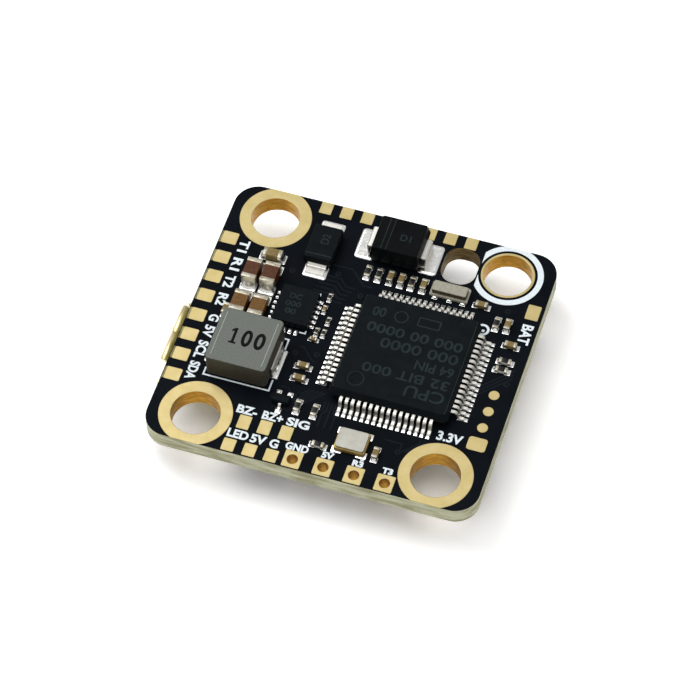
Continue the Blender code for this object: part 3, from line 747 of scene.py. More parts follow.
def make_flat_pads():
    """The solder pads that have no hole."""
    west = -BOARD_X / 2
    pad_group("west_pads", [(west + 0.88, y) for y in WEST_ROWS], (1.3, 1.18), 0.12)
    show("west_bare_strips", [(plate((0.16, 1.14), 0.03, 0.012, 0.002), (west + 0.145, y))
                              for y in WEST_ROWS], BARE)
    pad_group("north_pads", [(x, BOARD_Y / 2 - 0.59) for x in NORTH_COLUMNS], (1.02, 1.15), 0.05)
    pad_group("south_pads", [(x, -12.06) for x in SOUTH_COLUMNS], (1.05, 1.15))
    pad_group("second_row_pads", [(x, -9.72) for x in SECOND_COLUMNS], (1.02, 1.28))
    pad_group("battery_pad", [(13, 7.05)], (1.1, 1.45), 0.1)
    pad_group("supply_pad", [(12.27, -6.3)], (1.55, 1.25), 0.25)
    discs("test_points", [(12.25, y) for y in (-1.5, -3.1, -4.7)], 0.43)


def printed(name, parts, side=TOP):
    """A group of printed shapes."""
    show(name, parts, WHITE, side, smooth=CRISP)


def lines(name, routes, width):
    """A group of printed lines along lists of (x, y) points."""
    printed(name, [(track(route, width, PRINT_T), ORIGIN) for route in routes])


def labels(name, height, turn, rows, side=TOP):
    """Printed words: text, middle x, middle y and length, then a height of their own if any."""
    printed(name, [(lettering(words, length, (*own, height)[0], PRINT_T, 0.04), (x, y), turn)
                   for words, x, y, length, *own in rows], side)


def make_print():
    """The white print of the top face. Its words only say what a pad is for."""
    labels("west_labels", 0.78, -90, [
        ("T1", -11.6, 6.5, 1.22), ("R1", -11.6, 4.62, 1.28), ("T2", -11.6, 2.84, 1.26),
        ("R2", -11.6, 0.98, 1.24), ("G", -11.6, -0.93, 0.68), ("5V", -11.6, -2.28, 1.16),
        ("SCL", -11.6, -4.12, 1.7), ("SDA", -11.6, -6.22, 1.76)])
    labels("south_labels", 0.74, 0, [
        ("BZ-", -6.12, -8.58, 1.7, 0.72), ("BZ+", -3.97, -8.58, 1.72, 0.72),
        ("SIG", -1.84, -8.58, 1.9, 0.72), ("LED", -6.1, -10.92, 1.74),
        ("5V", -4.4, -10.92, 1.3), ("G", -3.08, -10.92, 0.74),
        ("GND", -1.22, -10.74, 1.9, 0.62), ("5V", 1.33, -10.74, 1, 0.54),
        ("R3", 3.83, -10.76, 0.9, 0.5), ("T3", 6.28, -10.74, 0.88, 0.5)])
    printed("east_labels", [
        (lettering("BAT", 1.95, 0.88, PRINT_T, 0.04), (13, 4.82), -90),
        (lettering("3.3V", 2.1, 0.8, PRINT_T, 0.04), (10.05, -6.35))])
    corner = (PATTERN_HALF, PATTERN_HALF)
    bm = sheet([circle_outline(2.93, corner, 96), circle_outline(2.44, corner, 96)], PRINT_T)
    trim(bm, (0, BOARD_Y / 2 - 0.01, 0), (0, 1, 0))
    trim(bm, (7.62, 0, 0), (-1, 0, 0))
    show("printed_ring_ne", bm, WHITE)
    west, east, south, north = -10.65, -5.11, -6.31, -1.19
    lines("inductor_outline", [
        [(west, -5.6), (west, south), (east, south), (east, -5.25)],
        [(east, -2.2), (east, north), (east - 0.43, north)]], 0.14)
    lines("chip_corner_marks", [
        [(-4.05, 3.4), (-4.05, 3.84)], [(-4.55, -0.25), (-4.05, -0.25), (-4.05, 0.05)],
        [(3.9, -10.36), (4.2, -10.36)], [(1.4, -10.36), (1.7, -10.36)]], 0.13)
    outer, inner = [circle_outline(radius, (9.56, 4.3), 28, -120, 200) for radius in (0.56, 0.36)]
    printed("pin_one_mark", [(sheet([outer + inner[::-1]], PRINT_T), ORIGIN),
                             (sheet([circle_outline(0.13, (9.62, 4.2), 16)], PRINT_T), ORIGIN)])


# ---------------------------------------------------------------- chip parts

CAPACITOR_0402 = (1, 0.5, 0.47)
RESISTOR_0402 = (1, 0.5, 0.32)
CAPACITOR_0201 = (0.6, 0.32, 0.3)
RESISTOR_0201 = (0.6, 0.32, 0.24)


def chip(name, at, size, paint, turn=0, ends=0.25, reach=0.25, rise=0.7, side=TOP, node=None):
    """A chip part on its two pads: body, tinned ends and solder. A resistor has a glaze."""
    length, width, height = size
    lift, skin = 0.03, 0.015
    body = (length - ends, width - 2 * skin, height - 2 * skin)
    parts = [(box_shape(body, 0.04, 0.02), (0, 0, lift + skin))]
    if paint is ALUMINA:
        glaze = (length - 2 * ends + 0.04, width - 0.05, 0.03)
        parts.append((box_shape(glaze, 0.02, 0.01), (0, 0, lift + height - 0.035), 0, 3))
    for sign, facing in ((1, 0), (-1, 180)):
        parts += [(box_shape((ends, width, height), 0.05, 0.05),
                   (sign * (length - ends) / 2, 0, lift), 0, 1),
                  (plate((reach + ends, width * 1.1), 0.05),
                   (sign * (length + reach - ends) / 2, 0), 0, 2),
                  (heel(reach, width * 1.06, height * rise, 6),
                   (sign * (length / 2 - 0.01), 0, PAD_T / 2), facing, 2)]
    show(name, parts, [paint, TERMINATION, SOLDER, GLAZE], side, at, turn, node=node)


def chip_on(node, name, paint, ends, reach, rise):
    """A chip part in the place of its CAD node."""
    middle, (size_x, size_y, height), _ = spot(node)
    size = (max(size_x, size_y), min(size_x, size_y), height)
    chip(name, middle, size, paint, 90 if size_y > size_x else 0, ends, reach, rise, node=node)


def chips(name, places, size, paint, side=TOP):
    """Numbered chip parts of one kind, each at (x, y) with its turn."""
    for number, (x, y, turn) in enumerate(places, start=1):
        chip("%s_%d" % (name, number), (x, y), size, paint, turn, side=side)


def make_chips():
    """The capacitors and resistors of the top face."""
    for number in (1, 2):
        chip_on("input_capacitor_%d" % number, "input_mlcc_%d" % number, DARK_CERAMIC,
                0.4, 0.5, 0.42)
        chip_on("output_capacitor_%d" % number, "output_mlcc_%d" % number, TAN_CERAMIC,
                0.42, 0.48, 0.4)
    chip_on("bootstrap_capacitor", "bootstrap_mlcc", KHAKI_CERAMIC, 0.32, 0.32, 0.6)
    for number in (1, 2, 3):
        chip_on("filter_capacitor_%d" % number, "filter_mlcc_%d" % number, KHAKI_CERAMIC,
                0.24, 0.26, 0.7)
    for number, kind in enumerate("rrccrc", start=1):
        chip_on("row_chip_%d" % number, "row_part_%d" % number,
                KHAKI_CERAMIC if kind == "c" else ALUMINA, 0.24, 0.28, 0.75)
    chips("small_mlcc", [(-10.93, 0.05, 90), (11.42, 5.15, 90), (12.2, 3.33, 0),
                         (4.93, -9.58, 90)], CAPACITOR_0402, KHAKI_CERAMIC)
    chips("resistor", [(10.5, 5.1, 90), (12.2, 1.75, 0), (12.15, 0.9, 0), (-2.38, -7.12, 90),
                       (-0.93, -7.15, 90), (0.3, -10.1, 0)], RESISTOR_0402, ALUMINA)
    tiny = [(-3.2, 3.65, 90, "resistor"), (-3.25, 2.4, 90, "mlcc"), (-3.2, 0.15, 90, "resistor"),
            (-2.6, 1.4, 90, "resistor"), (-2.6, 0.15, 90, "resistor"), (-3.2, -0.65, 0, "mlcc")]
    kinds = {"mlcc": (CAPACITOR_0201, KHAKI_CERAMIC), "resistor": (RESISTOR_0201, ALUMINA)}
    for number, (x, y, turn, kind) in enumerate(tiny, start=1):
        chip("tiny_%s_%d" % (kind, number), (x, y), *kinds[kind], turn, 0.16, 0.16)


# ---------------------------------------------------------------- leaded parts

def gull_wings(name, node, count, pitch, width, wall, toe, exit_z, side, at, turn, pad_w=0.3):
    """One side's leads, with their pads and the solder at their toes."""
    thickness = 0.13
    foot = PAD_T + 0.02 + thickness / 2
    path = bend([(wall - 0.12, exit_z), (wall + 0.4, exit_z), (wall + 0.58, foot), (toe, foot)],
                0.16, 5)
    parts = []
    for index in range(count):
        y = (index - (count - 1) / 2) * pitch
        parts += [(ribbon(path, width, thickness, 0.02, y), ORIGIN),
                  (plate((toe - wall - 0.15, pad_w), 0.06), ((toe + wall + 0.8) / 2, y), 0, 1),
                  (heel(0.34, pad_w, thickness * 1.1, 5), (toe - 0.01, y, PAD_T / 2), 0, 1)]
    show(name, parts, METALS, side, at, turn, node=node)


def marks(name, words, at, z, side=TOP, turn=0, shapes=(), bold=0.012):
    """Faint words on a part's top, each with length, height, x and y, and plain shapes."""
    parts = [(lettering(text, length, height, ETCH_T, bold), (x, y))
             for text, length, height, x, y in words]
    show(name, parts + list(shapes), ETCH, side, at, turn, z, smooth=CRISP)


def highlight_top_edge(bm, height):
    """Give the narrow faces along a body's upper east and west edges the lighter moulding, a
    painted highlight of the rounded edge.
    """
    for face in bm.faces:
        normal = face.normal
        high = face.calc_center_median().z > height * 0.9
        if high and 0.25 < normal.z < 0.97 and abs(normal.x) > abs(normal.y):
            face.material_index = 1


def make_processor():
    """The processor: moulded body, laser marks and the leads of its four sides."""
    middle, size, base = spot("mcu_body")
    body = carve(drafted(size, (0.3, 0.3), 0.5, 0.38, 0.055, 2),
                 [placed(dimple(0.62, 0.05, 48, 0.04), (-3.08, -3.44, size[2])),
                  placed(dimple(0.46, 0.03, 48, 0.04), (3.56, 4.01, size[2]))])
    # The upper east and west edge faces take the lighter moulding as a painted highlight.
    highlight_top_edge(body, size[2])
    show("processor_body", body, [BLACK, EDGE_HIGHLIGHT], at=middle, base=base, node="mcu_body")
    words = [("CPU", 3.3, 1.05, -2.6, 3.35), ("32 BIT 000", 7.2, 0.86, -0.65, 2.1),
             ("64 PIN", 3.2, 0.86, -2.65, 0.8), ("000 0000", 6.5, 0.92, -1, -0.5),
             ("000 00 0000", 8, 0.86, -0.25, -1.72), ("00", 1.1, 0.86, 3.2, -3.25)]
    frames = [([circle_outline(0.68), circle_outline(0.61)], (3.08, 3.44)),
              ([circle_outline(0.58), circle_outline(0.48)], (1.35, -3.25)),
              ([rounded_outline(1.9, 0.9, 0.1), rounded_outline(1.7, 0.7, 0.06)], (-1, -3.25))]
    shapes = [(sheet(loops, ETCH_T), at) for loops, at in frames]
    marks("processor_marks", words, middle, base + size[2], turn=180, shapes=shapes, bold=0.02)
    for name, turn in (("east", 0), ("north", 90), ("west", 180), ("south", 270)):
        gull_wings("processor_leads_" + name, "mcu_leads_" + name, 16, 0.5, 0.28, size[0] / 2, 6,
                   base + size[2] / 2, TOP, middle, turn)


def make_inductor():
    """The moulded inductor: grey body, value code and folded terminals."""
    middle, size, base = spot("inductor_core")
    bm = box_shape(size, 0.35, 0, 5)
    soften(bm, 0.1, 3, 60)
    # The sides take the darker ferrite as painted shade under the lit top.
    for face in bm.faces:
        face.material_index = 1 if abs(face.normal.z) < 0.5 else 0
    show("inductor_body", bm, [FERRITE, FERRITE_SHADED_SIDE], at=middle, base=base, node="inductor_core")
    # Pale ridges along the top's east and west edges carry a painted highlight of those edges.
    show("inductor_highlight_ridges", [(box_shape((0.07, 4.3, 0.02), 0.03, 0.008), (x, 0))
                             for x in (-2.14, 2.14)],
         FERRITE_HIGHLIGHT, at=middle, base=base + size[2] - 0.006)
    one = [(-0.3, -0.75), (0.3, -0.75), (0.3, -0.58), (0.11, -0.58), (0.11, 0.75), (-0.08, 0.75),
           (-0.32, 0.55), (-0.32, 0.34), (-0.11, 0.46), (-0.11, -0.58), (-0.3, -0.58)]
    code = [(sheet([one], PRINT_T), (-0.88, 0.07))]
    code += [(lettering("0", length, 1.5, PRINT_T, 0.06), (x, 0.07))
             for x, length in ((0.18, 0.84), (1.26, 0.88))]
    show("inductor_code", code, INK, at=middle, base=base + size[2], smooth=CRISP)
    wall = size[0] / 2
    path = bend([(wall - 1.1, 0.11), (wall + 0.11, 0.11), (wall + 0.13, 1.25)], 0.12, 5)
    for name, turn in (("east", 0), ("west", 180)):
        show("inductor_clip_" + name,
             [(ribbon(path, 2.8, 0.15, 0.03), ORIGIN), (plate((1.1, 2.8)), (wall, 0), 0, 1),
              (heel(0.34, 2.75, 0.35, 10), (wall + 0.19, 0, PAD_T / 2), 0, 1)],
             METALS, at=middle, turn=turn, node="inductor_terminal_" + name)


def bar(low, high):
    """A faint bar between two corners."""
    middle = ((low[0] + high[0]) / 2, (low[1] + high[1]) / 2)
    return sheet([rounded_outline(high[0] - low[0], high[1] - low[1], 0.03, middle, 2)], ETCH_T)


def make_power_diode():
    """The input diode: drafted body, polarity lines and leads folded under its ends."""
    middle, size, base = spot("power_diode_body")
    show("diode_body", drafted(size, (0.24, 0.15), 0.5, 0.12, 0.05), BLACK_SHINY, at=middle,
         base=base, node="power_diode_body")
    marks("diode_marks", [("D1", 0.9, 0.62, 0.55, -0.1)], middle, base + size[2],
          shapes=[(bar((x, -1.62), (x + 0.08, 1.62)), ORIGIN) for x in (-1.2, -0.78)])
    wall = size[0] / 2
    exit_z = base + size[2] / 2
    path = bend([(wall - 0.15, exit_z), (wall + 0.32, exit_z), (wall + 0.32, 0.125),
                 (wall - 0.75, 0.125)], 0.16, 5)
    for name, turn in (("east", 0), ("west", 180)):
        show("diode_lead_" + name, ribbon(path, 2, 0.15, 0.03), TIN, at=middle, turn=turn,
             node="power_diode_lead_" + name)
    show("diode_solder", [(puddle((-2.7, 8.15), (-1, 11.2), 0.3, 0.11), ORIGIN),
                          (puddle((2.75, 8.15), (4.35, 11.2), 0.3, 0.11), ORIGIN)], SOLDER)


def make_flat_diode():
    """The low diode: flat leads that end in wide solder pads."""
    middle, size, base = spot("flat_diode_body")
    show("low_diode_body", drafted(size, (0.1, 0.08), 0.45, 0.08, 0.04), BLACK, at=middle,
         base=base, node="flat_diode_body")
    marks("low_diode_marks", [], middle, base + size[2],
          shapes=[(bar((-1.1, -1.32), (1.1, -1.22)), ORIGIN),
                  (lettering("D2", 1, 0.7), (0.1, 0.35), 90)])
    wall = size[1] / 2
    path = bend([(wall - 0.6, 0.3), (wall - 0.1, 0.3), (wall + 0.12, 0.1), (wall + 0.85, 0.1)],
                0.1)
    for name, turn in (("north", 90), ("south", 270)):
        show("low_diode_lead_" + name, ribbon(path, 1.6, 0.12, 0.025), TIN, at=middle, turn=turn,
             node="flat_diode_lead_" + name)
    show("low_diode_solder", [(puddle((-6.175, low), (-4.125, high), 0.22, 0.1), ORIGIN)
                              for low, high in ((5.15, 6.5), (9.7, 10.95))], SOLDER)


def make_converter():
    """The converter chip, with the solder that stands out round its edge."""
    middle, size, base = spot("buck_converter")
    # The solder of the west side stands clear of the body.
    clear = 0.42
    show("converter_body", box_shape((size[0] - clear, *size[1:]), 0.06, 0.025), BLACK,
         at=(middle[0] + clear / 2, middle[1]), base=base, node="buck_converter")
    marks("converter_marks", [("DC", 1, 0.5, 0, 0.8), ("000", 1.3, 0.5, 0, 0.05),
                              ("00", 0.9, 0.5, 0, -0.7)], middle, base + size[2])
    solder = []
    for index in range(6):
        y = 3 - 0.5 * index
        solder += drop((0.34, 0.26), 0.06, (0.3, 0.24), 0.15, (-7.3, y), (-0.02, 0))
        solder += drop((0.52, 0.28), 0.06, (0.46, 0.26), 0.15, (-3.82, y), (-0.04, 0))
    for x in (-5.8, -5.3, -4.8):
        solder += drop((0.28, 0.55), 0.06, (0.26, 0.5), 0.15, (x, -0.37), (0, 0.02))
    show("converter_solder", solder, SOLDER)


def make_resonator():
    """The three-terminal resonator: ceramic cap on a base, with solder under its edge."""
    middle, size, base = spot("resonator")
    cap = box_shape((2.88, 0.98, size[2] - 0.1), 0.12, 0.07)
    # The cap's sides take the dark brown as painted shade, and its top keeps the lit beige.
    for face in cap.faces:
        face.material_index = 1 if face.normal.z < 0.3 else 0
    show("resonator_cap", cap, [RESONATOR, RESONATOR_SIDE_SHADE], at=middle, base=base + 0.1,
         node="resonator")
    show("resonator_base", box_shape((*size[:2], 0.28), 0.06, 0.03), RESONATOR, at=middle,
         base=base)
    solder = []
    for x in (-1.1, 0.12, 1.26):
        for y in (-0.72, 0.72):
            solder += drop((0.46, 0.34), 0.06, (0.4, 0.3), 0.2, (x, y))
    show("resonator_solder", solder, SOLDER, at=middle)


def make_crystal():
    """The crystal: ceramic base, gold rim and a metal lid."""
    middle, size, base = spot("crystal_base")
    show("crystal_body", box_shape(size, 0.16, 0.03), OCHRE, at=middle, base=base,
         node="crystal_base")
    show("crystal_rim", box_shape((size[0] - 0.06, size[1] - 0.06, 0.05), 0.18, 0.015), LID_RIM,
         at=middle, base=base + size[2])
    _, lid, lid_base = spot("crystal_lid")
    shape = box_shape(lid, 0.24, 0, 5)
    soften(shape, 0.05, 3)
    show("crystal_cover", shape, LID, at=middle, base=lid_base, node="crystal_lid")
    show("crystal_solder", [(plate((0.85, 0.62)), (sign_x * (size[0] / 2 - 0.28),
                                                   sign_y * (size[1] / 2 - 0.13)))
                            for sign_x in (-1, 1) for sign_y in (-1, 1)], SOLDER, at=middle)


def make_transistor():
    """The small transistor with two leads to the north and one to the south."""
    middle, _, _ = spot("buzzer_transistor")
    show("transistor_body", drafted((1.5, 0.8, 0.6), (0.07, 0.07), 0.5, 0, 0.03), BLACK,
         at=middle, base=0.1, node="buzzer_transistor")
    path = bend([(0.3, 0.36), (0.47, 0.36), (0.58, 0.09), (0.8, 0.09)], 0.08)
    legs = []
    for x, turn, sign, reach in ((-0.48, 90, 1, 0.44), (0.48, 90, 1, 0.44), (0, 270, -1, 0.6)):
        legs.append((ribbon(path, 0.24, 0.1), (x, 0), turn))
        legs += drop((0.46, reach), 0.06, (0.36, reach - 0.1), 0.12, (x, sign * 0.82),
                     (0, sign * 0.02), 1)
    show("transistor_leads", legs, METALS, at=middle)


# ---------------------------------------------------------------- sockets

def ribbon_between(path, sides, thickness):
    """A bent sheet along (x, z) points whose side edges are given at each point."""
    bm = ribbon(path, 2, thickness, 0.03)
    bm.verts.ensure_lookup_table()
    section = len(bm.verts) // len(path)
    for index, (low, high) in enumerate(sides):
        for vert in bm.verts[index * section:(index + 1) * section]:
            vert.co.y = low + (vert.co.y + 1) / 2 * (high - low)
    return bm


def make_usb_socket():
    """The micro USB socket under the west edge, with its four flared lips."""
    wall = 0.25
    lip_x, rear_x = [(corner[0] - MID_X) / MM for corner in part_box("usb_shell")]
    mouth_x = lip_x + 0.55
    middle_y = spot("usb_shell", UNDER)[0][1]
    near, far = GAP_UNDER, 2.575

    def section(half, radius):
        """A closed outline from its half on one side."""
        return bend(half + [(-y, z) for y, z in reversed(half)] + [half[0]], radius)[:-1]
    outer = section([(2.5, near), (2.9, near + 0.16), (3.62, near + 1.16), (3.84, near + 1.45),
                     (3.84, far - 0.38), (3.46, far)], 0.22)
    inner = section([(2.39, near + wall), (2.72, near + wall + 0.1), (3.4, near + 1.22),
                     (3.59, near + 1.56), (3.59, far - 0.44), (3.34, far - wall)], 0.18)
    # The section is drawn flat, and then stood up so that its thickness runs along X.
    tube = sheet([outer, inner], rear_x - mouth_x, 0.03)
    stand = Matrix(((0, 0, 1, mouth_x), (1, 0, 0, middle_y), (0, 1, 0, 0), (0, 0, 0, 1)))
    bmesh.ops.transform(tube, matrix=stand, verts=tube.verts)
    tube = carve(tube, [placed(box_shape((0.9, 0.55, 1), 0.1),
                               (mouth_x + 2.6, middle_y + y, far - 0.6)) for y in (-2.1, 2.1)])
    show("usb_socket_shell", tube, SHELL, UNDER, node="usb_shell")

    reach = mouth_x - lip_x - 0.03
    flare = bend([(0, 0), (-0.15 * reach, 0), (-0.45 * reach, -0.26), (-0.8 * reach, -0.26),
                  (-reach, -0.08)], 0.2)
    straight = len(flare) - 2
    metal = wall - 0.02
    tips = [2.75] * straight + [2.72, 2.48]
    near_flare = [(mouth_x + x, near + wall / 2 + z) for x, z in flare]
    far_flare = [(mouth_x + x, far - wall / 2 - z) for x, z in flare]
    lips = [(ribbon_between(near_flare, [(0.02, tip) for tip in tips], metal), (0, middle_y)),
            (ribbon_between(near_flare, [(-tip, -0.02) for tip in tips], metal), (0, middle_y)),
            (ribbon_between(far_flare, [(-tip - 0.25, tip + 0.25) for tip in tips], metal),
             (0, middle_y))]
    for sign in (1, -1):
        bm = ribbon_between([(mouth_x + x, -z) for x, z in flare],
                            [(1.3, 2.15)] * (straight + 1) + [(1.42, 2.02)], metal)
        # A side lip is the same strip, turned so that it flares along Y.
        turn = Matrix(((1, 0, 0, 0), (0, 0, sign, middle_y + sign * 3.715), (0, 1, 0, 0),
                       (0, 0, 0, 1)))
        bmesh.ops.transform(bm, matrix=turn, verts=bm.verts)
        bmesh.ops.recalc_face_normals(bm, faces=bm.faces)
        lips.append((bm, ORIGIN))
    show("usb_socket_lips", lips, SHELL, UNDER)
    tabs = []
    for x in (mouth_x + 1.2, rear_x - 0.6):
        for sign in (1, -1):
            tabs += [(plate((1.3, 0.9), 0.15), (x, middle_y + sign * 3.3)),
                     (placed(heel(0.5, 1.1, 0.8), (3.42, 0, PAD_T / 2)), (x, middle_y), sign * 90)]
    show("usb_solder", tabs, SOLDER, UNDER)


def make_esc_socket():
    """The eight-pin socket under the east edge: housing, contacts and solder tabs."""
    middle, size, base = spot("esc_socket_housing", UNDER)
    length, width, height = size
    pins = [index - 3.5 for index in range(8)]
    cuts = [((length - 0.9, width - 1.6, 1.8), 0.12, (0.95, 0, 0.52)),
            ((1.5, 2.2, 1.2), 0.1, (length / 2, 0, 1.9))]
    for sign in (1, -1):
        cuts += [((1.1, 0.7, 1.2), 0.1, (length / 2, sign * 3.2, 1.9)),
                 ((1.8, 0.5, 1.4), 0.08, (length / 2 - 1.6, sign * width / 2, -0.1))]
    cuts += [((0.45, 0.5, 0.4), 0.04, (-length / 2, y, height - 0.35)) for y in pins]
    body = carve(box_shape(size, 0.18, 0.1),
                 [placed(box_shape(cut, corner), at) for cut, corner, at in cuts])
    show("esc_socket_body", body, NYLON, UNDER, middle, base=base, node="esc_socket_housing")
    rear = middle[0] - length / 2
    contact_z = 1.45
    path = bend([(middle[0] + length / 2 - 1.1, contact_z), (rear - 0.28, contact_z),
                 (rear - 0.28, 0.13), (rear - 1, 0.13)], 0.2, 5)
    contacts = []
    for y in pins:
        contacts += [(ribbon(path, 0.32, 0.18, 0.03, y), ORIGIN),
                     (plate((0.95, 0.55), 0.1), (rear - 0.6, y), 0, 1),
                     (heel(0.36, 0.5, 0.2, 5), (rear - 1.01, y, PAD_T / 2), 180, 1)]
    show("esc_socket_pins", contacts, METALS, UNDER, node="esc_socket_contacts")
    path = bend([(0.1, 1.55), (0.1, 0.12), (0.72, 0.12)], 0.14, 5)
    for name in ("north", "south"):
        node = "esc_socket_tab_" + name
        (x, y), tab, _ = spot(node, UNDER)
        sign = 1 if y > 0 else -1
        show("esc_socket_anchor_" + name,
             [(ribbon(path, tab[0], 0.14, 0.03), ORIGIN),
              (plate((0.95, tab[0] + 0.3), 0.1), (0.42, 0), 0, 1),
              (heel(0.3, tab[0], 0.22), (0.71, 0, PAD_T / 2), 0, 1)],
             METALS, UNDER, (x, sign * width / 2), sign * 90, node=node)


# ---------------------------------------------------------------- the boot button

def make_boot_button():
    """The boot button: base, cover, legs and dome and, on the moving body, its plunger."""
    middle, size, base = spot("boot_button_base", UNDER)
    half_x = size[0] / 2
    recess = turned([(AXIS, 0.22), (1.05, 0.22), (1.05, 2), (AXIS, 2)], 48)
    show("button_base", carve(box_shape(size, 0.22, 0.06), [recess]), NYLON_BLACK, UNDER, middle,
         base=base, node="boot_button_base")
    cover_y = spot("boot_button_cover", UNDER)[1][1]
    top_z = size[2] + base + 0.03
    lid = sheet([rounded_outline(size[0] + 0.16, cover_y, 0.25), circle_outline(0.8)], 0.1, 0.02)
    side_x = half_x + 0.09
    fold = bend([(side_x - 0.25, top_z + 0.05), (side_x, top_z + 0.05), (side_x, 0.28)], 0.12, 5)
    show("button_cover", [(lid, (0, 0, top_z))] + [(ribbon(fold, cover_y - 0.5, 0.1), ORIGIN, turn)
                                                   for turn in (0, 180)],
         LID, UNDER, middle, node="boot_button_cover")
    path = bend([(half_x - 0.2, 0.13), (half_x + 0.3, 0.13)], 0.05)
    legs = []
    for sign, turn in ((-1, 180), (1, 0)):
        for y in (-0.85, 0.85):
            legs += [(ribbon(path, 0.5, 0.12), (0, y), turn),
                     (plate((0.44, 0.7)), (sign * (half_x + 0.2), y), 0, 1),
                     (heel(0.12, 0.5, 0.12, 5), (sign * (half_x + 0.29), y, 0.01), turn, 1)]
    show("button_legs", legs, METALS, UNDER, middle)
    centre, plunger, low = spot("boot_button_plunger", UNDER)
    stem_r, round_r = 0.74, 0.12
    flange_r = plunger[0] / 2
    top = plunger[2]
    profile = [(AXIS, 0), (flange_r, 0), (flange_r, 0.15), (stem_r, 0.16), (stem_r, top - round_r)]
    profile += circle_outline(round_r, (stem_r - round_r, top - round_r), 6, 0, 90)[1:]
    profile += [(0.42, top), (0.36, top - 0.04), (AXIS, top - 0.04)]
    show("button_plunger", turned(profile, 64), PLUNGER, UNDER, centre, base=low,
         node="boot_button_plunger", body=PLUNGER_BODY)
    _, snap, low = spot("boot_button_dome", UNDER)
    edge_r = snap[0] / 2
    metal = 0.05
    radii = [AXIS] + [edge_r * step / 8 for step in range(1, 9)]
    inside = [(r, (snap[2] - metal) * (1 - (r / edge_r) ** 2)) for r in radii]
    outside = [(r, z + metal) for r, z in inside]
    piece = show("button_snap_dome", turned(outside + inside[::-1], 48), LID, UNDER, centre,
                 base=low, node="boot_button_dome")
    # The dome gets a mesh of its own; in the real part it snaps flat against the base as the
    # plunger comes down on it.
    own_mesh(piece)


# ---------------------------------------------------------------- the underside

def flat_chip(name, node, label):
    """A leadless chip with a pin-one dot and a faint code. Returns its middle and size."""
    middle, size, base = spot(node, UNDER)
    corner = (-size[0] / 2 + 0.55, size[1] / 2 - 0.55, size[2])
    body = carve(box_shape(size, 0.06, 0.03), [placed(dimple(0.22, 0.03, 32), corner)])
    show(name, body, BLACK, UNDER, middle, base=base, node=node)
    marks(name + "_marks", [(label, size[0] * 0.5, size[1] * 0.16, 0.1, -size[1] * 0.12)],
          middle, base + size[2], UNDER)
    return middle, size


def make_sensor():
    """The motion sensor, with solder on all four sides."""
    middle, size = flat_chip("sensor_chip", "gyro_chip", "X Y Z")
    solder = []
    for turn in (0, 90, 180, 270):
        for index in range(5):
            for shape, out in ((plate((0.26, 0.42), 0.05), 0.05), (dome((0.24, 0.34), 0.14), 0.08)):
                at = ((index - 2) * 0.5, size[1] / 2 + out)
                solder.append((placed(shape, at), ORIGIN, turn))
    show("sensor_solder", solder, SOLDER, UNDER, middle)


def make_memory():
    """The memory chip, with four pads on each of two sides."""
    middle, size = flat_chip("memory_chip", "flash_chip", "0000")
    solder = []
    for sign in (-1, 1):
        for index in range(4):
            at = (sign * (size[0] / 2 + 0.05), (index - 1.5) * 1.1)
            solder += drop((0.55, 0.5), 0.08, (0.42, 0.42), 0.2, at)
    show("memory_solder", solder, SOLDER, UNDER, middle)


def make_display_chip():
    """The display chip, with leads on its two long sides."""
    middle, size, base = spot("osd_chip_body", UNDER)
    corner = (-size[0] / 2 + 0.9, -size[1] / 2 + 0.9, size[2])
    body = carve(drafted(size, (0.12, 0.12), 0.5, 0, 0.04),
                 [placed(dimple(0.35, 0.04, 40, 0.03), corner)])
    show("display_chip", body, BLACK, UNDER, middle, base=base, node="osd_chip_body")
    marks("display_chip_marks", [("OSD", 2.6, 0.9, 0.4, 0.55),
                                 ("000 0000", 5.2, 0.7, 0.4, -0.7)], middle, base + size[2], UNDER)
    for name, turn in (("south", 90), ("north", 270)):
        gull_wings("display_leads_" + name, "osd_chip_leads_" + name, 14, 0.65, 0.24, size[1] / 2,
                   size[1] / 2 + 1, base + size[2] / 2, UNDER, middle, turn, 0.34)


def make_regulator():
    """The regulator, with three leads on one side and two on the other."""
    middle, size, base = spot("regulator", UNDER)
    show("regulator_body", drafted(size, (0.09, 0.09), 0.5, 0, 0.04), BLACK, UNDER, middle,
         base=base, node="regulator")
    wall = size[1] / 2
    path = bend([(wall - 0.1, 0.5), (wall + 0.18, 0.5), (wall + 0.32, 0.1), (wall + 0.62, 0.1)],
                0.1)
    legs = []
    for x, turn in ((-0.95, 90), (0, 90), (0.95, 90), (-0.95, 270), (0.95, 270)):
        sign = 1 if turn == 90 else -1
        legs.append((ribbon(path, 0.36, 0.12), (x, 0), turn))
        legs += drop((0.6, 0.7), 0.08, (0.5, 0.3), 0.12, (x, sign * (wall + 0.5)),
                     (0, sign * 0.16), 1)
    show("regulator_leads", legs, METALS, UNDER, middle)


def make_status_led():
    """The status light: a clear lens on a base with gold ends."""
    middle, size, _ = spot("status_led", UNDER)
    half_x = size[0] / 2
    show("led_lens", box_shape((size[0] - 0.5, size[1] - 0.06, size[2] - 0.22), 0.05, 0.05), LENS,
         UNDER, middle, base=0.24, node="status_led")
    parts = [(box_shape((size[0] - 0.1, size[1], 0.24), 0.03, 0.02), (0, 0, 0.02))]
    for sign, turn in ((1, 0), (-1, 180)):
        parts += [(box_shape((0.3, size[1], 0.26), 0.04, 0.03),
                   (sign * (half_x - 0.15), 0, 0.02), 0, 1),
                  (heel(0.28, 0.8, 0.22, 6), (sign * half_x, 0, 0.01), turn, 2)]
    show("led_base", parts, [ALUMINA, GOLD, SOLDER], UNDER, middle)


